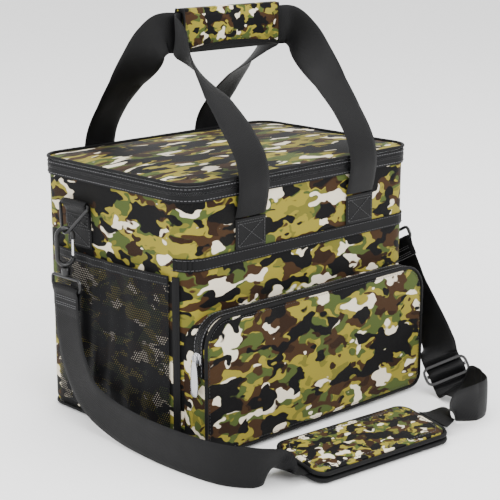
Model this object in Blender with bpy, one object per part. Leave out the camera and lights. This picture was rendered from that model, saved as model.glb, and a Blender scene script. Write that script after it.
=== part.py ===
"""Insulated cooler bag with a zipped lid, a front pouch, mesh side pockets,
two carrying handles with a padded grip and a hooked shoulder strap.

Metres, +Z up. The origin is the centre of the base, -Y is the front.
"""

import math

import bmesh
import bpy
from mathutils import Matrix, Vector

# ---------------------------------------------------------------- sizes
BAG_WIDTH = 0.300
BAG_DEPTH = 0.212
BAG_HEIGHT = 0.250
CORNER_RADIUS = 0.022
BOTTOM_RADIUS = 0.010
GAP = 0.0003

SHELL_THICK = 0.0012
FOAM_THICK = 0.0050
LINER_THICK = 0.0008
BOARD_THICK = 0.0020

PIPING_RADIUS = 0.0015
BAND_THICK = 0.0012
BAND_HEIGHT = 0.0165
CROWN = 0.0035
LID_OPEN_GAP = 0.0004

BINDING_TOP = 0.183
BINDING_HEIGHT = 0.012

POUCH_DEPTH = 0.0215
POUCH_HALF = 0.146
POUCH_BOTTOM = 0.0055
POUCH_TOP = 0.131
POUCH_FOLD = 0.079
POUCH_TOP_RADIUS = 0.025
POUCH_LOW_RADIUS = 0.012
POUCH_SKIN = 0.0014

POCKET_TOP = 0.166
POCKET_BULGE = 0.0095
POCKET_MOUTH = 0.0065
POCKET_THICK = 0.0008
POCKET_BINDING = 0.009

WEB_WIDTH = 0.038
WEB_THICK = 0.0016

HANDLE_SPACING = 0.146
HANDLE_PIVOT_Z = 0.2122
HANDLE_RISE = 0.118
GRIP_HALF = 0.062
GRIP_HEIGHT = 0.040
GRIP_WEB_Y = 0.0025

LID_SLIDER_Y = 0.070
PULL_STANDOFF = 0.0018

TAB_SHIFT = 0.045
TAB_LOW = 0.170
RING_BAR_Z = 0.2125
RING_DROP = 0.0290
RING_WIRE = 0.0016
RING_ARC = 0.0070
RING_LEAN = math.radians(26.0)
HOOK_WIRE = 0.0023
HOOK_RADIUS = 0.0075
HOOK_LEG = 0.0206
HOOK_TURN = math.radians(30.0)
RIGHT_PULL = math.radians(30.0)

BUCKLE_CENTRE = Vector((0.1530, -0.1580, 0.0245))
BUCKLE_RUN = Vector((-0.10, -0.62, -0.76))
BUCKLE_FACING = Vector((0.735, -0.61, 0.29))
BUCKLE_HALF_A = 0.0224
BUCKLE_HALF_L = 0.0088
WEAVE_REACH = 0.0160
WEAVE_FADE = 0.0045
WEAVE_DEPTH = 0.0034

PAD_LENGTH = 0.165
PAD_WIDTH = 0.068
PAD_LAYER = 0.0042
PAD_CENTRE = Vector((-0.027, -0.2070, 0.0108))
PAD_TURN = math.radians(-5.0)
PAD_TILT = math.radians(8.0)

HALF_W = BAG_WIDTH / 2
HALF_D = BAG_DEPTH / 2
BAND_LOW = BAG_HEIGHT - BAND_HEIGHT
ZIP_Z = BAG_HEIGHT - 0.0085
BODY_TOP = ZIP_Z - 0.0025
WEB_PITCH = HANDLE_SPACING / 2

# ------------------------------------------------------------ materials
MATERIALS = {
    "camo_fabric": ((0.20, 0.19, 0.07), 0.75, 0.0),
    "black_webbing": ((0.022, 0.022, 0.022), 0.55, 0.0),
    "black_trim": ((0.015, 0.015, 0.016), 0.60, 0.0),
    "zip_tape": ((0.030, 0.030, 0.032), 0.70, 0.0),
    "zip_teeth": ((0.012, 0.012, 0.013), 0.35, 0.0),
    "nickel": ((0.62, 0.62, 0.63), 0.25, 1.0),
    "black_plastic": ((0.018, 0.018, 0.019), 0.38, 0.0),
    "bright_steel": ((0.70, 0.70, 0.71), 0.22, 1.0),
    "mesh_net": ((0.020, 0.020, 0.021), 0.65, 0.0),
    "foam": ((0.72, 0.72, 0.70), 0.90, 0.0),
    "liner": ((0.66, 0.67, 0.68), 0.35, 0.0),
    "board": ((0.10, 0.10, 0.10), 0.70, 0.0),
}


def clear_scene():
    """Remove every object of the open scene."""
    for item in list(bpy.data.objects):
        bpy.data.objects.remove(item, do_unlink=True)


def get_material(name):
    """Return the named Principled material, made once."""
    found = bpy.data.materials.get(name)
    if found:
        return found
    colour, rough, metal = MATERIALS[name]
    made = bpy.data.materials.new(name)
    made.use_nodes = True
    shader = made.node_tree.nodes["Principled BSDF"]
    shader.inputs["Base Color"].default_value = (*colour, 1.0)
    shader.inputs["Roughness"].default_value = rough
    shader.inputs["Metallic"].default_value = metal
    return made


def add_part(name, bm, material, pivot=(0.0, 0.0, 0.0), smooth=True):
    """Make one named object from bm, with its origin at pivot."""
    bmesh.ops.recalc_face_normals(bm, faces=bm.faces)
    bmesh.ops.translate(bm, verts=bm.verts, vec=-Vector(pivot))
    mesh = bpy.data.meshes.new(name)
    bm.to_mesh(mesh)
    bm.free()
    if smooth:
        mesh.shade_smooth()
        mesh.set_sharp_from_angle(angle=math.radians(40.0))
    part = bpy.data.objects.new(name, mesh)
    part.location = pivot
    mesh.materials.append(get_material(material))
    bpy.context.scene.collection.objects.link(part)
    return part


# ------------------------------------------------------------- outlines
def rounded_rect(half_w, half_d, radius, steps=6):
    """Points of a rounded rectangle, counter-clockwise from the right back."""
    points = []
    corners = ((1, 1, 0), (-1, 1, 90), (-1, -1, 180), (1, -1, 270))
    for side_x, side_y, start in corners:
        centre_x = side_x * (half_w - radius)
        centre_y = side_y * (half_d - radius)
        for step in range(steps + 1):
            angle = math.radians(start + 90.0 * step / steps)
            x = centre_x + radius * math.cos(angle)
            y = centre_y + radius * math.sin(angle)
            points.append((x, y))
    return points


def bag_ring(out, z, steps=6):
    """The bag's outline moved outwards by out, at height z."""
    radius = max(CORNER_RADIUS + out, 0.001)
    flat = rounded_rect(HALF_W + out, HALF_D + out, radius, steps)
    return [Vector((x, y, z)) for x, y in flat]


def bag_path(out, start, end, steps=10):
    """Open run of the outline from the left back corner round the front."""
    radius = CORNER_RADIUS + out
    along = []
    centre_x = HALF_W - CORNER_RADIUS
    centre_y = HALF_D - CORNER_RADIUS
    spans = (
        (-centre_x, centre_y, 90.0, 180.0),
        (-centre_x, -centre_y, 180.0, 270.0),
        (centre_x, -centre_y, 270.0, 360.0),
        (centre_x, centre_y, 0.0, 90.0),
    )
    for index, (x, y, first, last) in enumerate(spans):
        for step in range(steps + 1):
            angle = math.radians(first + (last - first) * step / steps)
            place = index + step / steps
            if start <= place <= end:
                along.append((x + radius * math.cos(angle), y + radius * math.sin(angle)))
    return along


# ----------------------------------------------------------- mesh makers
def loft(rings, closed=False):
    """Skin a list of equal rings; cap both ends unless the loft closes."""
    bm = bmesh.new()
    rows = [[bm.verts.new(point) for point in ring] for ring in rings]
    count = len(rows[0])
    total = len(rows) if closed else len(rows) - 1
    for row in range(total):
        low = rows[row]
        high = rows[(row + 1) % len(rows)]
        for index in range(count):
            after = (index + 1) % count
            bm.faces.new((low[index], low[after], high[after], high[index]))
    if not closed:
        bm.faces.new(list(reversed(rows[0])))
        bm.faces.new(rows[-1])
    return bm


def prism(low_path, high_path):
    """Solid between two equal closed paths."""
    return loft([low_path, high_path])


def box(low, high):
    """Axis-aligned box between two corners."""
    x0, y0, z0 = low
    x1, y1, z1 = high
    base = [Vector((x0, y0, z0)), Vector((x1, y0, z0)), Vector((x1, y1, z0)), Vector((x0, y1, z0))]
    top = [point + Vector((0, 0, z1 - z0)) for point in base]
    return prism(base, top)


def soft_box(low, high, radius, axis=2):
    """Box with its edges along axis rounded, built as a loft."""
    others = [index for index in range(3) if index != axis]
    half = [(high[index] - low[index]) / 2 for index in range(3)]
    mid = [(high[index] + low[index]) / 2 for index in range(3)]
    flat = rounded_rect(half[others[0]], half[others[1]], radius, 3)
    ease = min(radius, half[axis]) * 0.4
    levels = ((-half[axis], -ease), (-half[axis] + ease, 0.0), (half[axis] - ease, 0.0), (half[axis], -ease))
    rings = []
    for height, grow in levels:
        ring = []
        for a, b in flat:
            point = [0.0, 0.0, 0.0]
            point[axis] = mid[axis] + height
            point[others[0]] = mid[others[0]] + a * (1 + grow / half[others[0]])
            point[others[1]] = mid[others[1]] + b * (1 + grow / half[others[1]])
            ring.append(Vector(point))
        rings.append(ring)
    return loft(rings)


def layer_profile(offset):
    """Bottom rings of a cup layer at a depth of offset inside the bag."""
    rings = []
    radius = BOTTOM_RADIUS - offset
    for step in range(4):
        angle = math.pi / 2 * step / 3
        inset = BOTTOM_RADIUS - radius * math.sin(angle)
        z = BOTTOM_RADIUS - radius * math.cos(angle)
        rings.append(bag_ring(-inset, z))
    return rings


def cup(outer, inner, top):
    """Open-topped layer of the bag between two depths."""
    rings = layer_profile(outer)
    rings.append(bag_ring(-outer, top))
    rings.append(bag_ring(-inner, top))
    rings.extend(reversed(layer_profile(inner)))
    return loft(rings)


def band(out_low, out_high, z_low, z_high):
    """Closed band round the whole bag."""
    rings = [
        bag_ring(out_low, z_low),
        bag_ring(out_high, z_low),
        bag_ring(out_high, z_high),
        bag_ring(out_low, z_high),
    ]
    return loft(rings, closed=True)


def strip(out_low, out_high, z_low, z_high, start, end):
    """Band along part of the outline, from start to end in corner counts."""
    near = bag_path(out_low, start, end)
    far = bag_path(out_high, start, end)
    rings = []
    for (x0, y0), (x1, y1) in zip(near, far):
        ring = [Vector((x0, y0, z_low)), Vector((x1, y1, z_low)), Vector((x1, y1, z_high)), Vector((x0, y0, z_high))]
        rings.append(ring)
    return loft(rings)


def circle_section(radius, sides, squash=1.0):
    """Section points of a round cord."""
    turns = [2 * math.pi * side / sides for side in range(sides)]
    return [(radius * math.cos(turn), radius * squash * math.sin(turn)) for turn in turns]


def sweep(points, section, closed=False, wide=None):
    """Sweep a section along points; wide gives the section's first axis."""
    rings = []
    count = len(points)
    for index, point in enumerate(points):
        before = points[index - 1] if closed or index else point
        after = points[(index + 1) % count] if closed or index < count - 1 else point
        along = (after - before).normalized()
        hint = wide[index] if wide else Vector((0, 0, 1))
        if abs(along.dot(hint)) > 0.98 and not wide:
            hint = Vector((0, 1, 0))
        first = (hint - along * hint.dot(along)).normalized()
        second = along.cross(first)
        rings.append([point + first * a + second * b for a, b in section])
    return loft(rings, closed=closed)


def smooth_run(values, steps):
    """Catmull-Rom run through values, with steps points on each span."""
    run = []
    last = len(values) - 1
    for span in range(last):
        p0 = values[max(span - 1, 0)]
        p1 = values[span]
        p2 = values[span + 1]
        p3 = values[min(span + 2, last)]
        for step in range(steps):
            t = step / steps
            a = p1 * 2
            b = (p2 - p0) * t
            c = (p0 * 2 - p1 * 5 + p2 * 4 - p3) * t * t
            d = (p1 * 3 - p0 - p2 * 3 + p3) * t * t * t
            run.append((a + b + c + d) / 2)
    run.append(values[-1].copy())
    return run


def even_run(values, steps):
    """Straight-line run through values, in step with smooth_run."""
    run = []
    for first, second in zip(values, values[1:]):
        run.extend(first.lerp(second, step / steps) for step in range(steps))
    run.append(values[-1].copy())
    return run


def web_section(width=WEB_WIDTH, thick=WEB_THICK):
    """Flat webbing section: its width on the first axis."""
    return rect_section(width, thick)


def rect_section(first, second):
    """Plain rectangular section."""
    a = first / 2
    b = second / 2
    return [(a, -b), (a, b), (-a, b), (-a, -b)]


def ribbon(stations, steps, width=WEB_WIDTH):
    """Webbing through (point, width direction) stations."""
    points = smooth_run([Vector(point) for point, wide in stations], steps)
    wides = even_run([Vector(wide) for point, wide in stations], steps)
    return sweep(points, web_section(width), wide=wides)


def rod(start, end, radius, sides=12):
    """Straight round rod."""
    hint = Vector((1, 0, 0)) if abs((end - start).normalized().x) < 0.9 else Vector((0, 0, 1))
    return sweep([start, end], circle_section(radius, sides), wide=[hint, hint])


def turned(profile, sides=16):
    """Ring turned about Z from (radius, z) profile points."""
    rings = []
    for side in range(sides):
        angle = 2 * math.pi * side / sides
        rings.append([Vector((r * math.cos(angle), r * math.sin(angle), z)) for r, z in profile])
    return loft(rings, closed=True)


def moved(bm, matrix):
    """Transform all of bm and return it."""
    bmesh.ops.transform(bm, matrix=matrix, verts=bm.verts)
    return bm


# ------------------------------------------------------------- main body
def build_body():
    """Shell, insulation, liner, base board and outside bindings."""
    foam_out = SHELL_THICK + GAP
    liner_out = foam_out + FOAM_THICK + GAP
    inside = liner_out + LINER_THICK
    add_part("outer_shell", cup(0.0, SHELL_THICK, BODY_TOP), "camo_fabric")
    foam = cup(foam_out, foam_out + FOAM_THICK, BODY_TOP)
    add_part("insulation_foam", foam, "foam")
    add_part("inner_liner", cup(liner_out, inside, BODY_TOP), "liner")
    board_low = inside + GAP
    board = [bag_ring(-inside - 0.005, board_low), bag_ring(-inside - 0.005, board_low + BOARD_THICK)]
    add_part("base_board", loft(board), "board")
    low = BINDING_TOP - BINDING_HEIGHT
    add_part("front_binding", strip(GAP, GAP + BAND_THICK, low, BINDING_TOP, 1.3, 2.7), "black_trim")
    foot_z = BOTTOM_RADIUS * (1 - math.cos(math.radians(50)))
    foot_in = BOTTOM_RADIUS * (1 - math.sin(math.radians(50)))
    lift = (PIPING_RADIUS + GAP) * math.sin(math.radians(40))
    foot = bag_ring(-foot_in + lift * 1.2, max(foot_z - lift, PIPING_RADIUS + GAP))
    add_part("base_piping", sweep(foot, circle_section(PIPING_RADIUS, 6), closed=True), "black_trim")


def build_zip_and_lid():
    """Closure round the top: lower tape, lid band, piping and lid layers."""
    out = GAP
    low = ZIP_Z + LID_OPEN_GAP / 2
    tape = band(out, out + BAND_THICK, BAND_LOW, ZIP_Z - LID_OPEN_GAP / 2)
    add_part("body_zip_tape", tape, "zip_tape")
    lid_tape = band(-0.0008, out + BAND_THICK, low, BAG_HEIGHT - PIPING_RADIUS - GAP * 3)
    add_part("lid_band", lid_tape, "zip_tape", lid_pivot())
    piping = sweep(bag_ring(0.0012, BAG_HEIGHT), circle_section(PIPING_RADIUS, 8), closed=True)
    add_part("lid_piping", piping, "black_trim", lid_pivot())
    inside = -0.0008 - GAP * 2
    edge = BAG_HEIGHT - 0.0007
    lining = [bag_ring(inside, low), bag_ring(inside, BAG_HEIGHT - 0.0025)]
    lining.extend(crown_rings(inside, edge - SHELL_THICK - GAP))
    add_part("lid_lining", loft(lining), "liner", lid_pivot())
    panel = crown_rings(-0.0007, edge)
    under = [[point - Vector((0, 0, SHELL_THICK)) for point in ring] for ring in panel]
    add_part("lid_panel", loft(list(reversed(under)) + panel), "camo_fabric", lid_pivot())


def crown_rings(out, z):
    """Rings of a gently domed lid surface from its edge to its middle."""
    rings = []
    for inset, rise in ((0.0, 0.0), (0.008, 0.45), (0.030, 0.8), (0.070, 1.0)):
        half_w = HALF_W + out - inset
        half_d = HALF_D + out - inset
        radius = max(CORNER_RADIUS + out - inset * 0.25, 0.004)
        flat = rounded_rect(half_w, half_d, radius)
        rings.append([Vector((x, y, z + CROWN * rise)) for x, y in flat])
    return rings


def lid_pivot():
    """A point on the lid's hinge line."""
    return (0.0, HALF_D + PIPING_RADIUS + 0.0015, ZIP_Z)


def build_lid_slider():
    """Slider at the closed end on the right side, with its hanging pull."""
    place = LID_SLIDER_Y
    x_low = HALF_W + GAP + BAND_THICK + GAP
    x_high = x_low + 0.0026
    corner = (x_low, place - 0.0065, ZIP_Z - 0.0045)
    slider = soft_box(corner, (x_high, place + 0.0065, ZIP_Z + 0.0045), 0.002, 0)
    add_part("lid_slider", slider, "nickel", (x_low, place, ZIP_Z))
    hang = Vector((x_high + PULL_STANDOFF, place, ZIP_Z + 0.0020))
    pull_low = (hang.x - 0.0009, place - 0.0040, ZIP_Z - 0.0215)
    pull = soft_box(pull_low, (hang.x + 0.0009, place + 0.0040, hang.z + 0.0010), 0.0020, 0)
    add_part("lid_pull", pull, "nickel", tuple(hang))


# ----------------------------------------------------------- front pouch
def front_face(x):
    """Y of the bag's front surface at a given x, with a working gap."""
    past = abs(x) - (HALF_W - CORNER_RADIUS)
    if past <= 0:
        return -HALF_D - GAP
    rise = math.sqrt(max(CORNER_RADIUS**2 - past**2, 0.0))
    return -(HALF_D - CORNER_RADIUS) - rise - GAP


def pouch_path(inset, low, high):
    """Pouch outline in X and Z: an open run between two heights.

    The lower run goes from the left side under the bottom to the right
    side; the upper run goes over the top from left to right.
    """
    half = POUCH_HALF - inset
    bottom = POUCH_BOTTOM + inset
    top = POUCH_TOP - inset
    low_r = POUCH_LOW_RADIUS - inset
    top_r = POUCH_TOP_RADIUS - inset
    left = []
    if low is None:
        left.append((-half, high))
        left.append((-half, bottom + low_r + (high - bottom - low_r) / 2))
        for step in range(6):
            angle = math.radians(180 + 90 * step / 5)
            left.append((-half + low_r + low_r * math.cos(angle), bottom + low_r + low_r * math.sin(angle)))
        left.append((-half / 2, bottom))
    else:
        left.append((-half, low))
        left.append((-half, (low + top - top_r) / 2))
        for step in range(8):
            angle = math.radians(180 - 90 * step / 7)
            left.append((-half + top_r + top_r * math.cos(angle), top - top_r + top_r * math.sin(angle)))
        left.append((-half / 2, top))
    return left + [(-x, z) for x, z in reversed(left)]


def pouch_wall(inset_out, inset_in, low, high, front, back):
    """Gusset-like wall along the pouch outline between two depths."""
    outer = pouch_path(inset_out, low, high)
    inner = pouch_path(inset_in, low, high)
    rings = []
    for (x0, z0), (x1, z1) in zip(outer, inner):
        y0 = front_face(x0) if back is None else back
        y1 = front_face(x1) if back is None else back
        rings.append([Vector((x0, front, z0)), Vector((x1, front, z1)), Vector((x1, y1, z1)), Vector((x0, y0, z0))])
    return loft(rings)


def pouch_plate(low, high, inset, y_front, y_back):
    """Flat pouch panel inside the outline."""
    flat = pouch_path(inset, low, high)
    front = [Vector((x, y_front, z)) for x, z in flat]
    back = [Vector((x, y_back, z)) for x, z in flat]
    return prism(front, back)


def build_pouch():
    """Front pouch: fixed lower half, zipped upper flap, slider and pull."""
    front = -HALF_D - POUCH_DEPTH
    skin = POUCH_SKIN
    wall_front = front + skin + GAP
    zip_mid = front + 0.0100
    fold = POUCH_FOLD
    pivot = (0.0, front - PIPING_RADIUS - 0.001, fold)
    low_end = fold - GAP
    flap_low = fold + GAP

    add_part("pouch_gusset_lower", pouch_wall(0.0, skin, None, low_end, wall_front, None), "camo_fabric")
    add_part("pouch_gusset_upper", pouch_wall(0.0, skin, flap_low, None, zip_mid + 0.0010, None), "camo_fabric")
    rim = pouch_wall(0.0, skin, flap_low, None, wall_front, zip_mid - 0.0010)
    add_part("pouch_flap_rim", rim, "camo_fabric", pivot)
    tape_in = -GAP
    tape_out = -GAP - 0.0010
    body_tape = pouch_wall(tape_out, tape_in, flap_low, None, zip_mid + GAP / 2, zip_mid + 0.0055)
    add_part("pouch_tape_body", body_tape, "zip_tape")
    flap_tape = pouch_wall(tape_out, tape_in, flap_low, None, zip_mid - 0.0055, zip_mid - GAP / 2)
    add_part("pouch_tape_flap", flap_tape, "zip_tape", pivot)

    piping_in = PIPING_RADIUS + GAP - 0.0008
    lower = pouch_plate(None, low_end, piping_in, front, front + skin)
    add_part("pouch_panel", lower, "camo_fabric")
    flap = pouch_plate(flap_low, None, piping_in, front, front + skin)
    add_part("pouch_flap", flap, "camo_fabric", pivot)
    for name, low, high in (("pouch_piping_lower", None, low_end), ("pouch_piping_upper", flap_low, None)):
        flat = pouch_path(-0.0008, low, high)
        points = [Vector((x, front, z)) for x, z in flat]
        hint = [Vector((0, 1, 0))] * len(points)
        piping = sweep(points, circle_section(PIPING_RADIUS, 6), wide=hint)
        place = pivot if name.endswith("upper") else (0.0, 0.0, 0.0)
        add_part(name, piping, "black_trim", place)

    x_out = -POUCH_HALF + tape_out - GAP
    z_mid = 0.0960
    low_corner = (x_out - 0.0026, zip_mid - 0.0050, z_mid - 0.0065)
    slider = soft_box(low_corner, (x_out, zip_mid + 0.0050, z_mid + 0.0065), 0.002, 0)
    add_part("pouch_slider", slider, "nickel", (x_out, zip_mid, z_mid))
    hang = Vector((x_out - 0.0026 - PULL_STANDOFF, zip_mid, z_mid + 0.004))
    pull_low = (hang.x - 0.0009, zip_mid - 0.0045, z_mid - 0.0345)
    pull = soft_box(pull_low, (hang.x + 0.0009, zip_mid + 0.0045, hang.z + 0.0010), 0.0025, 0)
    add_part("pouch_pull", pull, "nickel", tuple(hang))


# ---------------------------------------------------------- side pockets
def pocket_offset(u, v):
    """How far the net stands off the side at u along it and v up it."""
    swell = math.sin(math.pi * u) ** 0.7
    lift = POCKET_MOUTH + (POCKET_BULGE - POCKET_MOUTH) * math.sin(math.pi * min(v * 1.2, 1.0))
    foot = min(1.0, v * 4 + 0.15)
    return 0.0009 + lift * swell * foot


def pocket_sheet(v_low, v_high, near, thick, rows):
    """Bulging sheet over the left side between two heights."""
    front = -HALF_D + CORNER_RADIUS + 0.001
    back = HALF_D - CORNER_RADIUS - 0.001
    bottom = BOTTOM_RADIUS + 0.001
    columns = 14
    rings = []
    for column in range(columns + 1):
        u = column / columns
        y = front + (back - front) * u
        outer = []
        inner = []
        for row in range(rows + 1):
            v = v_low + (v_high - v_low) * row / rows
            z = bottom + (POCKET_TOP - bottom) * v
            offset = pocket_offset(u, v)
            outer.append(Vector((-HALF_W - offset - near - thick, y, z)))
            inner.append(Vector((-HALF_W - offset - near, y, z)))
        rings.append(outer + list(reversed(inner)))
    return loft(rings)


def build_pockets():
    """Net pocket, its elastic top binding and end bindings on both sides."""
    split = 1.0 - POCKET_BINDING / (POCKET_TOP - BOTTOM_RADIUS - 0.001)
    for side, turn in (("left", 0.0), ("right", math.pi)):
        matrix = Matrix.Rotation(turn, 4, "Z")
        net = moved(pocket_sheet(0.0, split - 0.002, 0.0, POCKET_THICK, 8), matrix)
        add_part("pocket_net_" + side, net, "mesh_net")
        hem = moved(pocket_sheet(split, 1.0, -0.0004, 0.0016, 2), matrix)
        add_part("pocket_hem_" + side, hem, "black_trim")
        edge = strip(GAP, GAP + BAND_THICK, BOTTOM_RADIUS + 0.001, POCKET_TOP, 1.05, 1.3)
        add_part("pocket_edge_" + side, moved(edge, matrix), "black_trim")


# --------------------------------------------------------------- handles
def leg_stations():
    """Right half of the front handle from its stitch line to the grip."""
    base_y = -HALF_D - GAP - WEB_THICK / 2
    grip_z = BAG_HEIGHT + HANDLE_RISE
    pitch = WEB_PITCH
    return [
        ((pitch, base_y, HANDLE_PIVOT_Z + 0.0010), (1, 0, 0)),
        ((pitch, base_y - 0.0032, HANDLE_PIVOT_Z + 0.014), (1, 0, 0)),
        ((pitch, base_y - 0.0052, BAG_HEIGHT - 0.0038), (1, 0, 0)),
        ((pitch, base_y + 0.0010, BAG_HEIGHT + 0.018), (1, 0, 0)),
        ((pitch + 0.001, base_y + 0.0190, BAG_HEIGHT + 0.042), (0.99, 0.0, 0.05)),
        ((pitch + 0.002, base_y + 0.0420, BAG_HEIGHT + 0.066), (0.95, -0.05, 0.25)),
        ((pitch + 0.004, base_y + 0.0680, BAG_HEIGHT + 0.090), (0.75, -0.35, 0.60)),
        ((pitch + 0.005, base_y + 0.0860, grip_z - 0.009), (0.20, -0.30, 0.92)),
        ((pitch + 0.002, base_y + 0.0980, grip_z - 0.0006), (0.0, 0.0, 1.0)),
        ((pitch - 0.007, -GRIP_WEB_Y - 0.0012, grip_z), (0.0, 0.0, 1.0)),
        ((pitch - 0.016, -GRIP_WEB_Y, grip_z), (0.0, 0.0, 1.0)),
        ((0.020, -GRIP_WEB_Y, grip_z), (0.0, 0.0, 1.0)),
    ]


def handle_ribbon():
    """Whole front handle webbing."""
    half = leg_stations()
    left = [((-x, y, z), (a, -b, -c)) for (x, y, z), (a, b, c) in half]
    for index, (point, wide) in enumerate(left):
        left[index] = (point, tuple(-value for value in wide))
    stations = half + list(reversed(left))
    points = smooth_run([Vector(point) for point, wide in stations], 3)
    wides = even_run([Vector(wide) for point, wide in stations], 3)
    return sweep(points, web_section(), wide=wides)


def grip_rings(layer_in, layer_out, low_shift, columns=12):
    """Front half of the wrapped grip as L-shaped sections along X."""
    grip_z = BAG_HEIGHT + HANDLE_RISE
    top = grip_z + WEB_WIDTH / 2 + GAP
    rings = []
    for column in range(columns + 1):
        x = -GRIP_HALF + 2 * GRIP_HALF * column / columns
        arch = 0.006 * (1 - (x / GRIP_HALF) ** 2)
        low = top + 0.0035 - GRIP_HEIGHT + arch + low_shift
        ring = [
            Vector((x, -GAP / 2, top)),
            Vector((x, -layer_in, top)),
            Vector((x, -layer_in, low)),
            Vector((x, -layer_out, low)),
            Vector((x, -layer_out, top + 0.0015)),
            Vector((x, -layer_out + 0.002, top + 0.0035)),
            Vector((x, -GAP / 2, top + 0.0035)),
        ]
        rings.append(ring)
    return rings


def build_handles():
    """Both handles: anchors, swinging webbing and the halves of the grip."""
    face = HALF_D + GAP
    low = BINDING_TOP + GAP
    mid_y = -HALF_D - GAP - WEB_THICK / 2
    pivot_y = mid_y - 0.0012
    for side, sign in (("front", 1), ("back", -1)):
        flip = Matrix.Diagonal((1, sign, 1, 1))
        pivot = (0.0, pivot_y * sign, HANDLE_PIVOT_Z)
        for end, place in (("left", -WEB_PITCH), ("right", WEB_PITCH)):
            high = HANDLE_PIVOT_Z - 0.0008
            patch = box((place - WEB_WIDTH / 2, -face - WEB_THICK, low), (place + WEB_WIDTH / 2, -face, high))
            add_part("anchor_" + side + "_" + end, moved(patch, flip), "black_webbing")
        add_part("handle_web_" + side, moved(handle_ribbon(), flip), "black_webbing", pivot)
        wall_in = GRIP_WEB_Y + WEB_THICK / 2 + GAP
        grip = loft(grip_rings(wall_in, wall_in + 0.0045, 0.0))
        add_part("grip_" + side, moved(grip, flip), "camo_fabric", pivot)


# ------------------------------------------------- strap hooks and rings
def ring_local():
    """Triangle ring hanging from its bar at the local origin, in YZ."""
    half = 0.0212
    ease = 0.003
    centre = -RING_DROP + RING_ARC
    side = Vector((half, -ease - centre))
    first = math.atan2(side.y, side.x) - math.acos(RING_ARC / side.length)
    points = [Vector((0, -half + ease, 0)), Vector((0, 0, 0)), Vector((0, half - ease, 0))]
    points.append(Vector((0, half - ease * 0.3, -ease * 0.3)))
    points.append(Vector((0, half, -ease)))
    for step in range(9):
        angle = first + (-math.pi - 2 * first) * step / 8
        points.append(Vector((0, RING_ARC * math.cos(angle), centre + RING_ARC * math.sin(angle))))
    points.append(Vector((0, -half, -ease)))
    points.append(Vector((0, -half + ease * 0.3, -ease * 0.3)))
    return points


def hook_path():
    """Hook centre line in the plane of local X and Z, ring wire at origin."""
    top = RING_WIRE + HOOK_WIRE + GAP
    high = top - HOOK_RADIUS
    low = high - HOOK_LEG
    points = [Vector((HOOK_RADIUS, 0, high - 0.003))]
    for step in range(9):
        angle = math.pi * step / 8
        points.append(Vector((HOOK_RADIUS * math.cos(angle), 0, high + HOOK_RADIUS * math.sin(angle))))
    for step in range(8):
        angle = math.pi + math.pi * step / 8
        points.append(Vector((HOOK_RADIUS * math.cos(angle), 0, low + HOOK_RADIUS * math.sin(angle))))
    points.append(Vector((HOOK_RADIUS, 0, low - 0.0008)))
    return points, high, low


def eye_path(top, low):
    """Rectangular strap eye in YZ, corners eased."""
    half = 0.0213
    ease = 0.003
    corners = []
    for y, z in ((half, top), (half, low), (-half, low), (-half, top)):
        toward = Vector((0, math.copysign(ease, -y), 0))
        rise = Vector((0, 0, ease if z == low else -ease))
        pair = [Vector((0, y, z)) + toward, Vector((0, y, z)) + (toward + rise) * 0.3, Vector((0, y, z)) + rise]
        if (y > 0) == (z == low):
            pair.reverse()
        corners.extend(pair)
    return corners


def hang_frame():
    """Ring bar, ring apex and arc centre on the left side."""
    bar = Vector((-HALF_W - 0.0058, TAB_SHIFT, RING_BAR_Z))
    lean = Matrix.Rotation(RING_LEAN, 4, "Y")
    down = lean @ Vector((0, 0, -1))
    apex = bar + down * RING_DROP
    arc_centre = bar + down * (RING_DROP - RING_ARC)
    return bar, lean, apex, arc_centre


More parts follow.
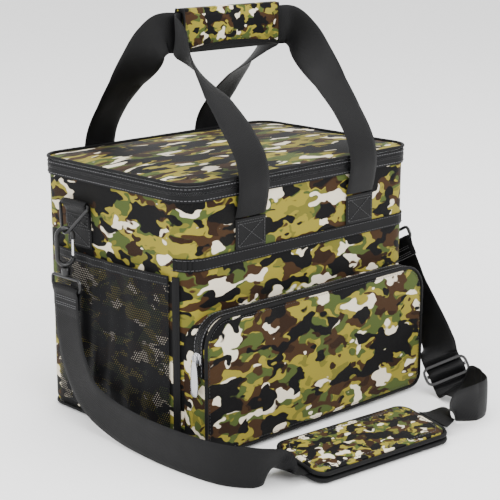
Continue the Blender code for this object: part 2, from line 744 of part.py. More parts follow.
def build_hook_side(side):
    """Tab, ring, hook, gate, swivel, eye and strap end of one side."""
    bar, lean, apex, arc_centre = hang_frame()
    place = Matrix.Identity(4) if side == "left" else Matrix.Rotation(math.pi, 4, "Z")
    pull = 0.0 if side == "left" else RIGHT_PULL
    swing = Matrix.Translation(arc_centre) @ Matrix.Rotation(pull, 4, "X") @ Matrix.Translation(-arc_centre)
    hang = place @ swing @ Matrix.Translation(apex)
    turn = hang @ Matrix.Rotation(-HOOK_TURN, 4, "Z")
    bar_point = tuple(place @ bar)

    patch = tab_profile(bar)
    add_part("ring_tab_" + side, moved(patch, place), "black_webbing")

    points = ring_local()
    ring = sweep(points, circle_section(RING_WIRE, 8), closed=True, wide=[Vector((1, 0, 0))] * len(points))
    add_part("ring_" + side, moved(ring, place @ Matrix.Translation(bar) @ lean), "black_plastic", bar_point)

    points, high, low = hook_path()
    hook = sweep(points, circle_section(HOOK_WIRE, 10), wide=[Vector((0, 1, 0))] * len(points))
    swivel_top = low - HOOK_RADIUS - HOOK_WIRE - GAP
    stem = tuple(turn @ Vector((0, 0, swivel_top)))
    add_part("hook_" + side, moved(hook, turn), "black_plastic", stem)
    gate_low = low + 0.0016
    gate_high = high - 0.0036
    gate = gate_solid(gate_low, gate_high)
    gate_pivot = turn @ Vector((HOOK_RADIUS, 0, gate_low + 0.0016))
    add_part("gate_" + side, moved(gate, turn), "bright_steel", tuple(gate_pivot))

    barrel_low = swivel_top - 0.0070
    barrel = turned([(0.0015, barrel_low), (0.0040, barrel_low), (0.0044, swivel_top - 0.002), (0.0038, swivel_top), (0.0015, swivel_top)])
    add_part("swivel_barrel_" + side, moved(barrel, turn), "black_plastic", stem)
    pin = rod(Vector((0, 0, barrel_low - GAP)), Vector((0, 0, swivel_top - GAP)), 0.0012)
    add_part("swivel_pin_" + side, moved(pin, hang), "bright_steel", stem)

    eye_top = barrel_low - GAP - 0.0017 - GAP
    eye_low = eye_top - 0.0115
    eye_points = eye_path(eye_top, eye_low)
    eye = sweep(eye_points, circle_section(0.0017, 8), closed=True, wide=[Vector((1, 0, 0))] * len(eye_points))
    add_part("swivel_eye_" + side, moved(eye, hang), "black_plastic", bar_point)
    add_part("strap_end_" + side, moved(strap_loop(eye_low), hang), "black_webbing", bar_point)
    return hang, Vector((0, 0, eye_low - 0.0183))


def gate_solid(low, high):
    """Sprung gate: a flattened rod with a round pivot end."""
    points = [Vector((HOOK_RADIUS, 0, low)), Vector((HOOK_RADIUS, 0, high))]
    section = circle_section(0.0019, 10)
    return sweep(points, section, wide=[Vector((0, 1, 0))] * 2)


def loop_run(radius, gap, drop, steps=10):
    """Centre line of webbing folded round a bar at the origin, in XZ."""
    run = [Vector((gap, 0, -drop)), Vector((gap, 0, -drop * 0.6)), Vector((gap * 1.1, 0, -radius * 2.2))]
    for step in range(steps + 1):
        angle = math.radians(-25) + math.radians(230) * step / steps
        run.append(Vector((radius * math.cos(angle), 0, radius * math.sin(angle))))
    run.extend([Vector((-gap * 1.1, 0, -radius * 2.2)), Vector((-gap, 0, -drop * 0.6)), Vector((-gap, 0, -drop))])
    return run


def strap_loop(eye_low):
    """Strap end folded round the eye's lower bar and stitched to itself."""
    run = loop_run(0.0017 + GAP + WEB_THICK / 2, WEB_THICK / 2 + GAP, 0.018)
    points = [point + Vector((0, 0, eye_low)) for point in run]
    return sweep(points, web_section(), wide=[Vector((0, 1, 0))] * len(points))


def tab_profile(bar):
    """Side tab: patch on the side whose top folds round the ring's bar."""
    radius = RING_WIRE + GAP + WEB_THICK / 2
    x_in = -HALF_W - GAP - WEB_THICK / 2
    reach = bar.x - x_in
    run = [
        Vector((x_in, 0, TAB_LOW)),
        Vector((x_in, 0, TAB_LOW + 0.020)),
        Vector((x_in, 0, RING_BAR_Z - 0.006)),
        Vector((x_in + reach * 0.15, 0, RING_BAR_Z - 0.001)),
    ]
    for step in range(9):
        angle = math.radians(25 + 200 * step / 8)
        run.append(Vector((bar.x + radius * math.cos(angle), 0, RING_BAR_Z + radius * math.sin(angle))))
    run.append(Vector((x_in - WEB_THICK - GAP * 3, 0, RING_BAR_Z - 0.0075)))
    run.append(Vector((x_in - WEB_THICK - GAP, 0, RING_BAR_Z - 0.012)))
    run.append(Vector((x_in - WEB_THICK - GAP, 0, RING_BAR_Z - 0.022)))
    points = [point + Vector((0, TAB_SHIFT, 0)) for point in run]
    return sweep(points, web_section(0.0362), wide=[Vector((0, 1, 0))] * len(points))


# --------------------------------------------------------- shoulder strap
def pad_matrix():
    """Place of the shoulder pad on the floor in front of the bag."""
    turn = Matrix.Rotation(PAD_TURN, 4, "Z")
    tilt = Matrix.Rotation(PAD_TILT, 4, "X")
    return Matrix.Translation(PAD_CENTRE) @ turn @ tilt


def left_strap_stations(start):
    """Left run: eye, floor, along the side, round the front to the pad."""
    pad = pad_matrix()
    across = pad.to_3x3() @ Vector((0, -1, 0))
    end = pad @ Vector((-PAD_LENGTH / 2 - 0.006, 0, 0))
    near = pad @ Vector((-PAD_LENGTH / 2 - 0.020, 0, 0.0015))
    return [
        (tuple(start), (0, -1, 0)),
        (tuple(start + Vector((0, 0, -0.004))), (0, -1, 0)),
        (tuple(start + Vector((0, 0, -0.009))), (0, -1, 0)),
        ((start.x - 0.002, TAB_SHIFT - 0.005, 0.090), (0, -1, 0.12)),
        ((start.x - 0.004, 0.030, 0.064), (0, -0.95, 0.35)),
        ((start.x - 0.007, 0.006, 0.037), (0, -0.75, 0.70)),
        ((-0.176, -0.032, 0.0235), (0, -0.32, 0.95)),
        ((-0.178, -0.080, 0.0200), (0, -0.05, 1)),
        ((-0.178, -0.130, 0.0200), (0, 0, 1)),
        ((-0.172, -0.172, 0.0200), (0, 0, 1)),
        ((-0.157, -0.197, 0.0200), (0, -0.05, 1)),
        ((-0.140, -0.2045, 0.0195), (0.0, -0.45, 0.9)),
        (tuple(near), tuple(across + Vector((0, 0, 0.25)))),
        (tuple(end), tuple(across)),
        (tuple(pad @ Vector((-PAD_LENGTH / 2 + 0.008, 0, 0))), tuple(across)),
        (tuple(pad @ Vector((0, 0, 0))), tuple(across)),
        (tuple(pad @ Vector((PAD_LENGTH / 2 + 0.0057, 0, 0))), tuple(across)),
    ]


def right_strap_stations(start, along):
    """Right run: eye, slide buckle, floor, round the front to the pad."""
    pad = pad_matrix()
    across = pad.to_3x3() @ Vector((0, -1, 0))
    end = pad @ Vector((PAD_LENGTH / 2 + 0.0072, 0, 0))
    near = pad @ Vector((PAD_LENGTH / 2 + 0.022, 0, 0.0015))
    centre, run, facing = buckle_place()
    wide = Vector((0, -1, 0)) - along * Vector((0, -1, 0)).dot(along)
    return [
        (tuple(start), tuple(wide)),
        (tuple(start + along * 0.012), tuple(wide)),
        (tuple(start + along * 0.030), (0.0, -0.866, 0.50)),
        ((0.1675, -0.1205, 0.0700), (0.08, -0.86, 0.46)),
        (tuple(centre - run * 0.031 + Vector((0.0062, 0, 0))), (0.20, -0.86, 0.44)),
        (tuple(centre - run * 0.018), tuple(facing)),
        (tuple(centre - run * 0.010), tuple(facing)),
        (tuple(centre), tuple(facing)),
        (tuple(centre + run * 0.008), tuple(facing)),
        (tuple(centre + run * 0.015), tuple(facing)),
        (tuple(centre + run * 0.021 + Vector((0, 0, 0.0016))), (0.74, -0.53, 0.38)),
        ((0.1490, -0.1840, 0.0178), (0.45, -0.32, 0.80)),
        ((0.1465, -0.1985, 0.0202), (0.15, -0.10, 0.98)),
        ((0.1425, -0.2110, 0.0200), (0, 0, 1)),
        ((0.1310, -0.2255, 0.0200), (0, 0, 1)),
        ((0.1120, -0.2295, 0.0200), (0, 0, 1)),
        ((0.0880, -0.2225, 0.0195), (0.0, -0.35, 0.92)),
        (tuple(near), tuple(across + Vector((0, 0, 0.30)))),
        (tuple(end), tuple(across)),
    ]


def buckle_place():
    """Centre, strap direction and width direction of the slide buckle."""
    run = BUCKLE_RUN.normalized()
    facing = BUCKLE_FACING - run * BUCKLE_FACING.dot(run)
    return BUCKLE_CENTRE, run, facing.normalized()


def weave(points, wides):
    """Push the run over and under the buckle's bars."""
    centre, run, facing = buckle_place()
    moved_points = []
    for point, wide in zip(points, wides):
        reach = (point - centre).dot(run)
        near = (point - centre - run * reach).length < 0.006
        amount = 0.0
        if near and abs(reach) < WEAVE_REACH:
            fade = min(1.0, (WEAVE_REACH - abs(reach)) / WEAVE_FADE)
            swing = math.cos(math.pi * min(abs(reach), BUCKLE_HALF_L) / BUCKLE_HALF_L)
            amount = WEAVE_DEPTH * swing * fade
        moved_points.append(point + run.cross(wide).normalized() * amount)
    return moved_points


def build_buckle():
    """Slide buckle: round-ended frame and a separate middle bar."""
    centre, run, across = buckle_place()
    out = run.cross(across).normalized()
    round_end = BUCKLE_HALF_L * 0.62
    points = []
    for side_a, side_l, first in ((1, -1, -90), (1, 1, 0), (-1, 1, 90), (-1, -1, 180)):
        a = side_a * (BUCKLE_HALF_A - round_end)
        b = side_l * (BUCKLE_HALF_L - round_end)
        for step in range(4):
            angle = math.radians(first + 30 * step)
            reach = round_end * math.cos(angle)
            points.append(centre + across * (a + reach) + run * (b + round_end * math.sin(angle)))
    frame = sweep(points, rect_section(0.0022, 0.0026), closed=True, wide=[out] * len(points))
    add_part("buckle_frame", frame, "black_plastic", tuple(centre))
    inside = BUCKLE_HALF_A - 0.0014 - GAP
    ends = [centre - across * inside, centre + across * inside]
    bar = sweep(ends, rect_section(0.0020, 0.0034), wide=[out] * 2)
    add_part("buckle_bar", bar, "black_plastic", tuple(centre))


def build_strap(left_end, right_end):
    """Both strap runs, the slide buckle and the shoulder pad."""
    left_hang, left_local = left_end
    start = left_hang @ left_local
    add_part("strap_left", ribbon(left_strap_stations(start), 5), "black_webbing")

    right_hang, right_local = right_end
    start = right_hang @ right_local
    along = (right_hang.to_3x3() @ Vector((0, 0, -1))).normalized()
    stations = right_strap_stations(start, along)
    points = smooth_run([Vector(point) for point, wide in stations], 10)
    wides = even_run([Vector(wide) for point, wide in stations], 10)
    points = weave(points, wides)
    add_part("strap_right", sweep(points, web_section(), wide=wides), "black_webbing")
    build_buckle()
    build_pad()


def build_pad():
    """Shoulder pad: a wide base and a smaller top, the strap between them."""
    place = pad_matrix()
    half_l = PAD_LENGTH / 2
    half_w = PAD_WIDTH / 2
    mid = WEB_THICK / 2 + GAP
    layers = (("pad_base", -mid - PAD_LAYER, 0.0, "black_trim"), ("pad_top", mid, 0.004, "camo_fabric"))
    for name, low, inset, colour in layers:
        corner = (-half_l + inset, -half_w + inset, low)
        layer = soft_box(corner, (half_l - inset, half_w - inset, low + PAD_LAYER), 0.012)
        add_part(name, moved(layer, place), colour, tuple(PAD_CENTRE))


def main():
    """Build the whole bag."""
    clear_scene()
    build_body()
    build_zip_and_lid()
    build_lid_slider()
    build_pouch()
    build_pockets()
    build_handles()
    left_end = build_hook_side("left")
    right_end = build_hook_side("right")
    build_strap(left_end, right_end)


main()
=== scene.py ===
"""Soft insulated cooler bag: cloth, webbing, zips and fittings dressed over its fixed frame."""

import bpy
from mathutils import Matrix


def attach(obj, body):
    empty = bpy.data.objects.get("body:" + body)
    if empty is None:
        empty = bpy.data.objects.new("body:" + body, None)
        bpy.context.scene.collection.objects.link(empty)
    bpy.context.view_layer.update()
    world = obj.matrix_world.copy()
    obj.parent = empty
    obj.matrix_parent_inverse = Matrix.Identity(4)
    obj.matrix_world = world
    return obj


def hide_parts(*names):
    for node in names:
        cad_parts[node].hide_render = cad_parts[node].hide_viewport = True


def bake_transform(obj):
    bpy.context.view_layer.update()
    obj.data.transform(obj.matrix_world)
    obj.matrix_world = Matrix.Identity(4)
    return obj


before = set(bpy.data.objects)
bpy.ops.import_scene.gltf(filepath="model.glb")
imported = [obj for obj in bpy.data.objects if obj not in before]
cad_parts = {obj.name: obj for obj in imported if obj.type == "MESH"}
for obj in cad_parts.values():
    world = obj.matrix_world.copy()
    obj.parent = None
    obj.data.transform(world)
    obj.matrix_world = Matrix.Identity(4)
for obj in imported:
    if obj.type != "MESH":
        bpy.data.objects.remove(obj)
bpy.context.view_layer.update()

import logging
import math
from dataclasses import dataclass, field
from enum import Enum
from typing import Callable, Sequence

import bmesh
import bpy
from mathutils import Matrix, Vector, noise

LOG = logging.getLogger("cooler_bag")
RUN_ATTRIBUTE = "run"
WEB_WIDTH = 0.038
WEB_THICK = 0.0016
CORD_RIBS = 900
SLIDER_TALL = 0.0026
PULL_STANDOFF = 0.0018

Point = tuple[float, float, float]
Colour = tuple[float, float, float, float]


def tint(code: str) -> Colour:
    """Turn a hex colour as the eye sees it into scene-linear values.

    Args:
        code: Six hex digits, red first.

    Returns:
        Linear red, green, blue and an alpha of one.
    """
    parts = [int(code[i : i + 2], 16) / 255 for i in (0, 2, 4)]
    linear = [c / 12.92 if c <= 0.04045 else ((c + 0.055) / 1.055) ** 2.4 for c in parts]
    return (linear[0], linear[1], linear[2], 1.0)


# ------------------------------------------------------------------ shader web
class Value:
    """One output socket; arithmetic on it adds Math nodes."""

    def __init__(self, web: "Web", socket: bpy.types.NodeSocket) -> None:
        """Keep the socket and the web it belongs to."""
        self.web = web
        self.socket = socket

    def maths(self, operation: str, other: "Value | float" = 0.0, swap: bool = False) -> "Value":
        """Add one Math node.

        Args:
            operation: Blender's name of the operation.
            other: The second operand.
            swap: Whether the operands change places.

        Returns:
            The node's result.
        """
        pair = (other, self) if swap else (self, other)
        return self.web.node("ShaderNodeMath", {"operation": operation}, {0: pair[0], 1: pair[1]})

    def __add__(self, other: "Value | float") -> "Value":
        """Add."""
        return self.maths("ADD", other)

    __radd__ = __add__

    def __sub__(self, other: "Value | float") -> "Value":
        """Subtract."""
        return self.maths("SUBTRACT", other)

    def __rsub__(self, other: "Value | float") -> "Value":
        """Subtract this from a number."""
        return self.maths("SUBTRACT", other, swap=True)

    def __mul__(self, other: "Value | float") -> "Value":
        """Multiply."""
        return self.maths("MULTIPLY", other)

    __rmul__ = __mul__

    def __truediv__(self, other: "Value | float") -> "Value":
        """Divide."""
        return self.maths("DIVIDE", other)

    def __mod__(self, other: "Value | float") -> "Value":
        """Floored remainder."""
        return self.maths("FLOORED_MODULO", other)

    def __abs__(self) -> "Value":
        """Absolute value."""
        return self.maths("ABSOLUTE")

    def __lt__(self, other: "Value | float") -> "Value":
        """One where this is less."""
        return self.maths("LESS_THAN", other)

    def sine(self) -> "Value":
        """Sine of this, in radians."""
        return self.maths("SINE")

    def larger(self, other: "Value | float") -> "Value":
        """The larger of the two."""
        return self.maths("MAXIMUM", other)

    def smaller(self, other: "Value | float") -> "Value":
        """The smaller of the two."""
        return self.maths("MINIMUM", other)

    def held(self) -> "Value":
        """This value held between nought and one."""
        return self.larger(0.0).smaller(1.0)

    def above(self, edge: float, crisp: float) -> "Value":
        """A mask that is one above an edge, with a short ramp.

        Args:
            edge: Where the mask is one half.
            crisp: How steep the ramp is.

        Returns:
            The mask.
        """
        return ((self - edge) * crisp + 0.5).held()


class Web:
    """The node tree of one material."""

    def __init__(self, name: str) -> None:
        """Start an empty material.

        Args:
            name: The material's name.
        """
        self.material = bpy.data.materials.new(name)
        self.material.use_nodes = True
        self.tree = self.material.node_tree
        self.tree.nodes.clear()

    def node(self, kind: str, settings: dict, inputs: dict, output: int | str = 0) -> Value:
        """Add any node.

        Args:
            kind: The node's type.
            settings: Its settings; "stops" sets a ramp's stops.
            inputs: Values or links by socket index or name.
            output: Which output to return.

        Returns:
            That output.
        """
        made = self.tree.nodes.new(kind)
        for key, setting in settings.items():
            if key == "stops":
                self._stops(made.color_ramp, setting)
            else:
                setattr(made, key, setting)
        for key, given in inputs.items():
            if isinstance(given, Value):
                self.tree.links.new(given.socket, made.inputs[key])
            else:
                made.inputs[key].default_value = given
        return Value(self, made.outputs[output])

    @staticmethod
    def _stops(ramp: bpy.types.ColorRamp, stops: Sequence[tuple[float, Colour]]) -> None:
        """Set a ramp's stops."""
        while len(ramp.elements) > 1:
            ramp.elements.remove(ramp.elements[-1])
        ramp.elements[0].position, ramp.elements[0].color = stops[0]
        for place, colour in stops[1:]:
            ramp.elements.new(place).color = colour

    def mix(self, factor: Value | float, first: Value | Colour, second: Value | Colour) -> Value:
        """Mix two colours; a factor of one gives the second."""
        inputs = {0: factor, 6: first, 7: second}
        return self.node("ShaderNodeMix", {"data_type": "RGBA"}, inputs, 2)

    def place(self) -> Value:
        """Where a point is on the piece, in metres."""
        return self.node("ShaderNodeTexCoord", {}, {}, "Object")

    def run(self) -> Value:
        """Place on a strip of cloth: across it, then along it, in metres."""
        return self.node("ShaderNodeAttribute", {"attribute_name": RUN_ATTRIBUTE}, {}, "Vector")

    def scaled(self, vector: Value, scale: Point, shift: Point = (0.0, 0.0, 0.0)) -> Value:
        """Scale a vector, then shift it."""
        wide = self.node("ShaderNodeVectorMath", {"operation": "MULTIPLY"}, {0: vector, 1: scale})
        return self.node("ShaderNodeVectorMath", {"operation": "ADD"}, {0: wide, 1: shift})

    def parts(self, vector: Value) -> tuple[Value, Value, Value]:
        """Split a vector into its three numbers."""
        made = self.tree.nodes.new("ShaderNodeSeparateXYZ")
        self.tree.links.new(vector.socket, made.inputs[0])
        return Value(self, made.outputs[0]), Value(self, made.outputs[1]), Value(self, made.outputs[2])

    def cloud(self, vector: Value, scale: float, detail: float = 2.0, rough: float = 0.5) -> Value:
        """Smooth noise from nought to one."""
        inputs = {"Vector": vector, "Scale": scale, "Detail": detail, "Roughness": rough}
        return self.node("ShaderNodeTexNoise", {}, inputs, 0)

    def bump(self, height: Value, strength: float, distance: float) -> Value:
        """Turn a height into a surface direction."""
        inputs = {"Strength": strength, "Distance": distance, "Height": height}
        return self.node("ShaderNodeBump", {}, inputs, 0)

    def surface(self, changing: dict, fixed: dict) -> bpy.types.Material:
        """Finish the material with one main shader.

        Args:
            changing: Links of the shader's sockets.
            fixed: Plain numbers of its sockets.

        Returns:
            The finished material.
        """
        shader = self.node("ShaderNodeBsdfPrincipled", {}, {**fixed, **changing})
        self.node_output(shader)
        return self.material

    def node_output(self, shader: Value) -> None:
        """Join a shader to the material's output."""
        end = self.tree.nodes.new("ShaderNodeOutputMaterial")
        self.tree.links.new(shader.socket, end.inputs[0])


# -------------------------------------------------------------------- finishes
@dataclass(frozen=True)
class Finish:
    """A finish that makes its material once and hands it out again."""

    name: str

    def material(self) -> bpy.types.Material:
        """The finish's material, made on first use."""
        return bpy.data.materials.get(self.name) or self.make(Web(self.name))

    def make(self, web: Web) -> bpy.types.Material:
        """Build the nodes in a web."""
        raise NotImplementedError


@dataclass(frozen=True)
class CamoCloth(Finish):
    """Plain-woven polyester printed with soft-edged patches in five colours."""

    patch: float = 0.0225
    flatten: Point = (1.0, 1.0, 1.8)
    shift: Point = (0.0, 0.0, 0.0)
    weave: float = 0.0009

    def make(self, web: Web) -> bpy.types.Material:
        """Build the print, its weave and slight fading."""
        place = web.place()
        scale = tuple(side / self.patch for side in self.flatten)
        flat = web.scaled(place, scale, self.shift)
        sway = web.node("ShaderNodeTexNoise", {}, {"Vector": flat, "Scale": 1.15, "Detail": 1.0}, 1)
        sway = web.scaled(sway, (1.25, 1.25, 1.25), (-0.62, -0.62, -0.62))
        bent = web.node("ShaderNodeVectorMath", {"operation": "ADD"}, {0: flat, 1: sway})

        def patches(shift: Point, edge: float, scale: float, detail: float = 1.2) -> Value:
            """One screen of the print."""
            moved = web.scaled(bent, (1.0, 1.0, 1.0), shift)
            return web.cloud(moved, scale, detail, 0.42).above(edge, 70.0)

        colour = web.mix(patches((3.1, 7.7, 1.3), 0.52, 0.80), tint("7C7228"), tint("3D4820"))
        colour = web.mix(patches((9.4, 2.2, 5.1), 0.60, 0.95), colour, tint("605C22"))
        colour = web.mix(patches((21.7, 4.4, 8.2), 0.555, 0.72), colour, tint("32200F"))
        colour = web.mix(patches((22.3, 4.1, 8.6), 0.60, 0.95), colour, tint("221307"))
        colour = web.mix(patches((5.9, 31.3, 2.9), 0.605, 0.78), colour, tint("CDC3AE"))
        colour = web.mix(patches((41.2, 13.9, 17.4), 0.545, 0.74), colour, tint("030304"))
        worn = web.cloud(place, 1400.0, 1.0)
        shade = web.cloud(place, 18.0, 2.0)
        fade = (worn * 0.06 + shade * 0.06 - 0.06).held()
        colour = web.mix(fade, colour, tint("8C8878"))

        across, deep, high = web.parts(place)
        turn = 2 * math.pi / self.weave
        threads = ((across + deep) * turn).sine() * (high * turn).sine()
        crumple = web.cloud(place, 45.0, 3.0)
        height = threads * 0.12 + crumple * 0.9 + worn * 0.12
        rough = shade * 0.12 + 0.66
        changing = {"Base Color": colour, "Roughness": rough, "Normal": web.bump(height, 0.22, 0.0012)}
        fixed = {"Sheen Weight": 0.02, "Sheen Roughness": 0.5, "Specular IOR Level": 0.10}
        return web.surface(changing, fixed)


@dataclass(frozen=True)
class Webbing(Finish):
    """Ribbed nylon webbing in a herringbone weave, a little shinier on its ribs."""

    colour: Colour = field(default_factory=lambda: tint("040405"))
    rib: float = 0.0016
    gloss: float = 0.46

    def make(self, web: Web) -> bpy.types.Material:
        """Build the herringbone from the strip's own measure, with a painted highlight on the rib crests."""
        across, along, _ = web.parts(web.run())
        place = web.place()
        lanes = abs((across / 0.0095 + 40.0) % 2.0 - 1.0)
        ribs = ((along / self.rib + lanes * 3.0) * (2 * math.pi)).sine()
        yarn = (across * (2 * math.pi / 0.0007)).sine()
        wear = web.cloud(place, 60.0, 3.0)
        fuzz = web.cloud(place, 1800.0, 1.0)
        # Lighter colour: a painted highlight along the rib crests, plus real wear and fuzz in random patches.
        light = (ribs * 0.10 + wear * 0.35 + fuzz * 0.25).held()
        colour = web.mix(light, self.colour, tint("0E0E0F"))
        height = ribs * 0.35 + yarn * 0.15 + fuzz * 0.25 + wear * 0.8
        rough = wear * 0.16 + (self.gloss - ribs * 0.03)
        changing = {"Base Color": colour, "Roughness": rough, "Normal": web.bump(height, 0.30, 0.0006)}
        fixed = {"Sheen Weight": 0.01, "Sheen Roughness": 0.35, "Specular IOR Level": 0.15}
        return web.surface(changing, fixed)


@dataclass(frozen=True)
class Binding(Finish):
    """Folded grosgrain binding and corded piping, fine ribs across its run."""

    colour: Colour = field(default_factory=lambda: tint("020203"))
    pitch: float = 0.0011

    def make(self, web: Web) -> bpy.types.Material:
        """Build ribs that follow the place on the piece."""
        place = web.place()
        across, deep, high = web.parts(place)
        ribs = ((across + deep * 0.9) * (2 * math.pi / self.pitch)).sine()
        steps = (high * (2 * math.pi / self.pitch)).sine()
        fuzz = web.cloud(place, 1500.0, 1.0)
        wear = web.cloud(place, 50.0, 3.0)
        colour = web.mix((wear * 0.5 + fuzz * 0.3).held(), self.colour, tint("0A0A0B"))
        height = ribs * 0.2 + steps * 0.12 + fuzz * 0.4 + wear * 0.6
        rough = wear * 0.15 + 0.56
        changing = {"Base Color": colour, "Roughness": rough, "Normal": web.bump(height, 0.28, 0.0006)}
        return web.surface(changing, {"Sheen Weight": 0.01, "Specular IOR Level": 0.15})


@dataclass(frozen=True)
class Thread(Finish):
    """Twisted sewing thread."""

    colour: Colour = field(default_factory=lambda: tint("1C1C1E"))

    def make(self, web: Web) -> bpy.types.Material:
        """Build a fine twist."""
        place = web.place()
        twist = web.cloud(place, 2600.0, 1.0)
        colour = web.mix(twist, self.colour, tint("2C2C2E"))
        changing = {"Base Color": colour, "Normal": web.bump(twist, 0.3, 0.0003)}
        return web.surface(changing, {"Roughness": 0.5, "Sheen Weight": 0.1})


@dataclass(frozen=True)
class Plated(Finish):
    """Plated metal with hairline scratches and duller hollows."""

    colour: Colour = (0.44, 0.44, 0.46, 1.0)
    gloss: float = 0.22

    def make(self, web: Web) -> bpy.types.Material:
        """Build fine streaks and patches of dullness."""
        place = web.place()
        streak = web.cloud(web.scaled(place, (400.0, 400.0, 4000.0)), 1.0, 2.0)
        patch = web.cloud(place, 260.0, 3.0)
        colour = web.mix(patch * 0.3, self.colour, (0.22, 0.22, 0.23, 1.0))
        rough = streak * 0.10 + patch * 0.12 + (self.gloss - 0.08)
        normal = web.bump(streak + patch, 0.08, 0.0003)
        changing = {"Base Color": colour, "Roughness": rough, "Normal": normal}
        return web.surface(changing, {"Metallic": 1.0})


@dataclass(frozen=True)
class Moulded(Finish):
    """Black moulded acetal, satin, with a faint grain."""

    colour: Colour = field(default_factory=lambda: tint("0A0A0B"))

    def make(self, web: Web) -> bpy.types.Material:
        """Build the grain and handled patches."""
        place = web.place()
        grain = web.cloud(place, 1300.0, 2.0)
        rubbed = web.cloud(place, 90.0, 3.0)
        colour = web.mix(rubbed * 0.4, self.colour, tint("151517"))
        rough = rubbed * 0.16 + 0.26
        changing = {"Base Color": colour, "Roughness": rough, "Normal": web.bump(grain, 0.12, 0.0003)}
        return web.surface(changing, {"Specular IOR Level": 0.35, "Coat Weight": 0.08})


@dataclass(frozen=True)
class HexNet(Finish):
    """Open hexagonal net: black yarn round six-sided holes."""

    cell: float = 0.0024
    yarn: float = 0.26

    def make(self, web: Web) -> bpy.types.Material:
        """Cut the holes by measuring each point from its nearest cell centre."""
        place = web.place()
        _, deep, high = web.parts(place)
        tall = math.sqrt(3.0)
        first = (deep / self.cell + 200.0, high / self.cell + 200.0 * tall)
        cells = []
        for shift in (0.0, 0.5):
            a = (first[0] + shift) % 1.0 - 0.5
            b = (first[1] + shift * tall) % tall - tall / 2
            cells.append((a, b, a * a + b * b))
        pick = cells[0][2] < cells[1][2]
        a = abs(cells[0][0] * pick + cells[1][0] * (1 - pick))
        b = abs(cells[0][1] * pick + cells[1][1] * (1 - pick))
        reach = a.larger(a * 0.5 + b * (tall / 2))
        solid = reach.above(0.5 - self.yarn, 26.0)
        fuzz = web.cloud(place, 1500.0, 1.0)
        colour = web.mix(fuzz, tint("050506"), tint("111113"))
        normal = web.bump(solid + fuzz * 0.4, 0.4, 0.0004)
        changing = {"Base Color": colour, "Alpha": solid, "Normal": normal}
        return web.surface(changing, {"Roughness": 0.6, "Specular IOR Level": 0.12})


@dataclass(frozen=True)
class Lining(Finish):
    """Wipe-clean foil lining with a soft crinkle."""

    colour: Colour = field(default_factory=lambda: tint("C9CBCD"))
    gloss: float = 0.34
    crinkle: float = 70.0

    def make(self, web: Web) -> bpy.types.Material:
        """Build the crinkle and faint marks."""
        place = web.place()
        crease = web.cloud(place, self.crinkle, 4.0, 0.6)
        marks = web.cloud(place, 12.0, 3.0)
        colour = web.mix(marks * 0.4, self.colour, tint("8F9193"))
        rough = crease * 0.2 + self.gloss
        changing = {"Base Color": colour, "Roughness": rough, "Normal": web.bump(crease, 0.5, 0.002)}
        return web.surface(changing, {"Specular IOR Level": 0.5})


@dataclass(frozen=True)
class Paper(Finish):
    """Pale studio paper under the bag."""

    def make(self, web: Web) -> bpy.types.Material:
        """Build a nearly even white."""
        grain = web.cloud(web.place(), 300.0, 2.0)
        colour = web.mix(grain, (0.93, 0.93, 0.93, 1.0), (0.96, 0.96, 0.96, 1.0))
        return web.surface({"Base Color": colour}, {"Roughness": 0.9, "Specular IOR Level": 0.1})


class Dress(Enum):
    """The finishes that the bag's pieces wear."""

    SHELL = CamoCloth("camo_body")
    LID = CamoCloth("camo_lid", 0.025, (0.8, 1.9, 1.8), (6.3, 2.9, 11.0))
    POUCH = CamoCloth("camo_pouch", 0.0225, (1.0, 1.0, 1.7), (14.2, 8.8, 3.7))
    GUSSET = CamoCloth("camo_gusset", 0.016, (1.0, 1.0, 1.2), (2.2, 18.1, 7.7))
    WRAP = CamoCloth("camo_wrap", 0.0115, (1.0, 1.0, 1.5), (31.0, 5.5, 9.1))
    PAD = CamoCloth("camo_pad", 0.0120, (1.0, 1.5, 1.0), (8.7, 22.0, 4.1))
    WEBBING = Webbing("black_webbing_cloth")
    BINDING = Binding("black_binding_cloth")
    TAPE = Binding("zip_tape_cloth", tint("0A0A0C"), 0.0009)
    COIL = Moulded("zip_coil_nylon", tint("101012"))
    THREAD = Thread("black_thread")
    PALE_THREAD = Thread("grey_thread", tint("5A5A5D"))
    NICKEL = Plated("nickel_plate")
    STEEL = Plated("bright_steel_plate", (0.78, 0.78, 0.80, 1.0), 0.14)
    PLASTIC = Moulded("black_acetal")
    NET = HexNet("hex_net_cloth")
    LINER = Lining("silver_lining")
    FOAM = Lining("white_foam", tint("E4E3DE"), 0.7, 260.0)
    BOARD = Lining("base_board_card", tint("2A2A2B"), 0.6, 120.0)
    PAPER = Paper("studio_paper")


# ----------------------------------------------------------------- mesh makers
def soft_noise(point: Vector, scale: float, shift: float = 0.0) -> float:
    """Smooth repeatable noise from about minus one to one."""
    return noise.noise(point * scale + Vector((shift, shift * 0.7, -shift)))


def smooth_run(values: Sequence[Vector], steps: int) -> list[Vector]:
    """Catmull-Rom run through values.

    Args:
        values: Points that the run passes.
        steps: Points on each span.

    Returns:
        The run, ends included.
    """
    run = []
    last = len(values) - 1
    for span in range(last):
        p0, p1 = values[max(span - 1, 0)], values[span]
        p2, p3 = values[span + 1], values[min(span + 2, last)]
        for step in range(steps):
            t = step / steps
            bend = (p0 * 2 - p1 * 5 + p2 * 4 - p3) * t * t + (p1 * 3 - p0 - p2 * 3 + p3) * t**3
            run.append((p1 * 2 + (p2 - p0) * t + bend) / 2)
    run.append(values[-1].copy())
    return run


def even_run(values: Sequence[Vector], steps: int) -> list[Vector]:
    """Straight-line run through values, in step with smooth_run."""
    run = []
    for first, second in zip(values, values[1:]):
        run.extend(first.lerp(second, step / steps) for step in range(steps))
    run.append(values[-1].copy())
    return run


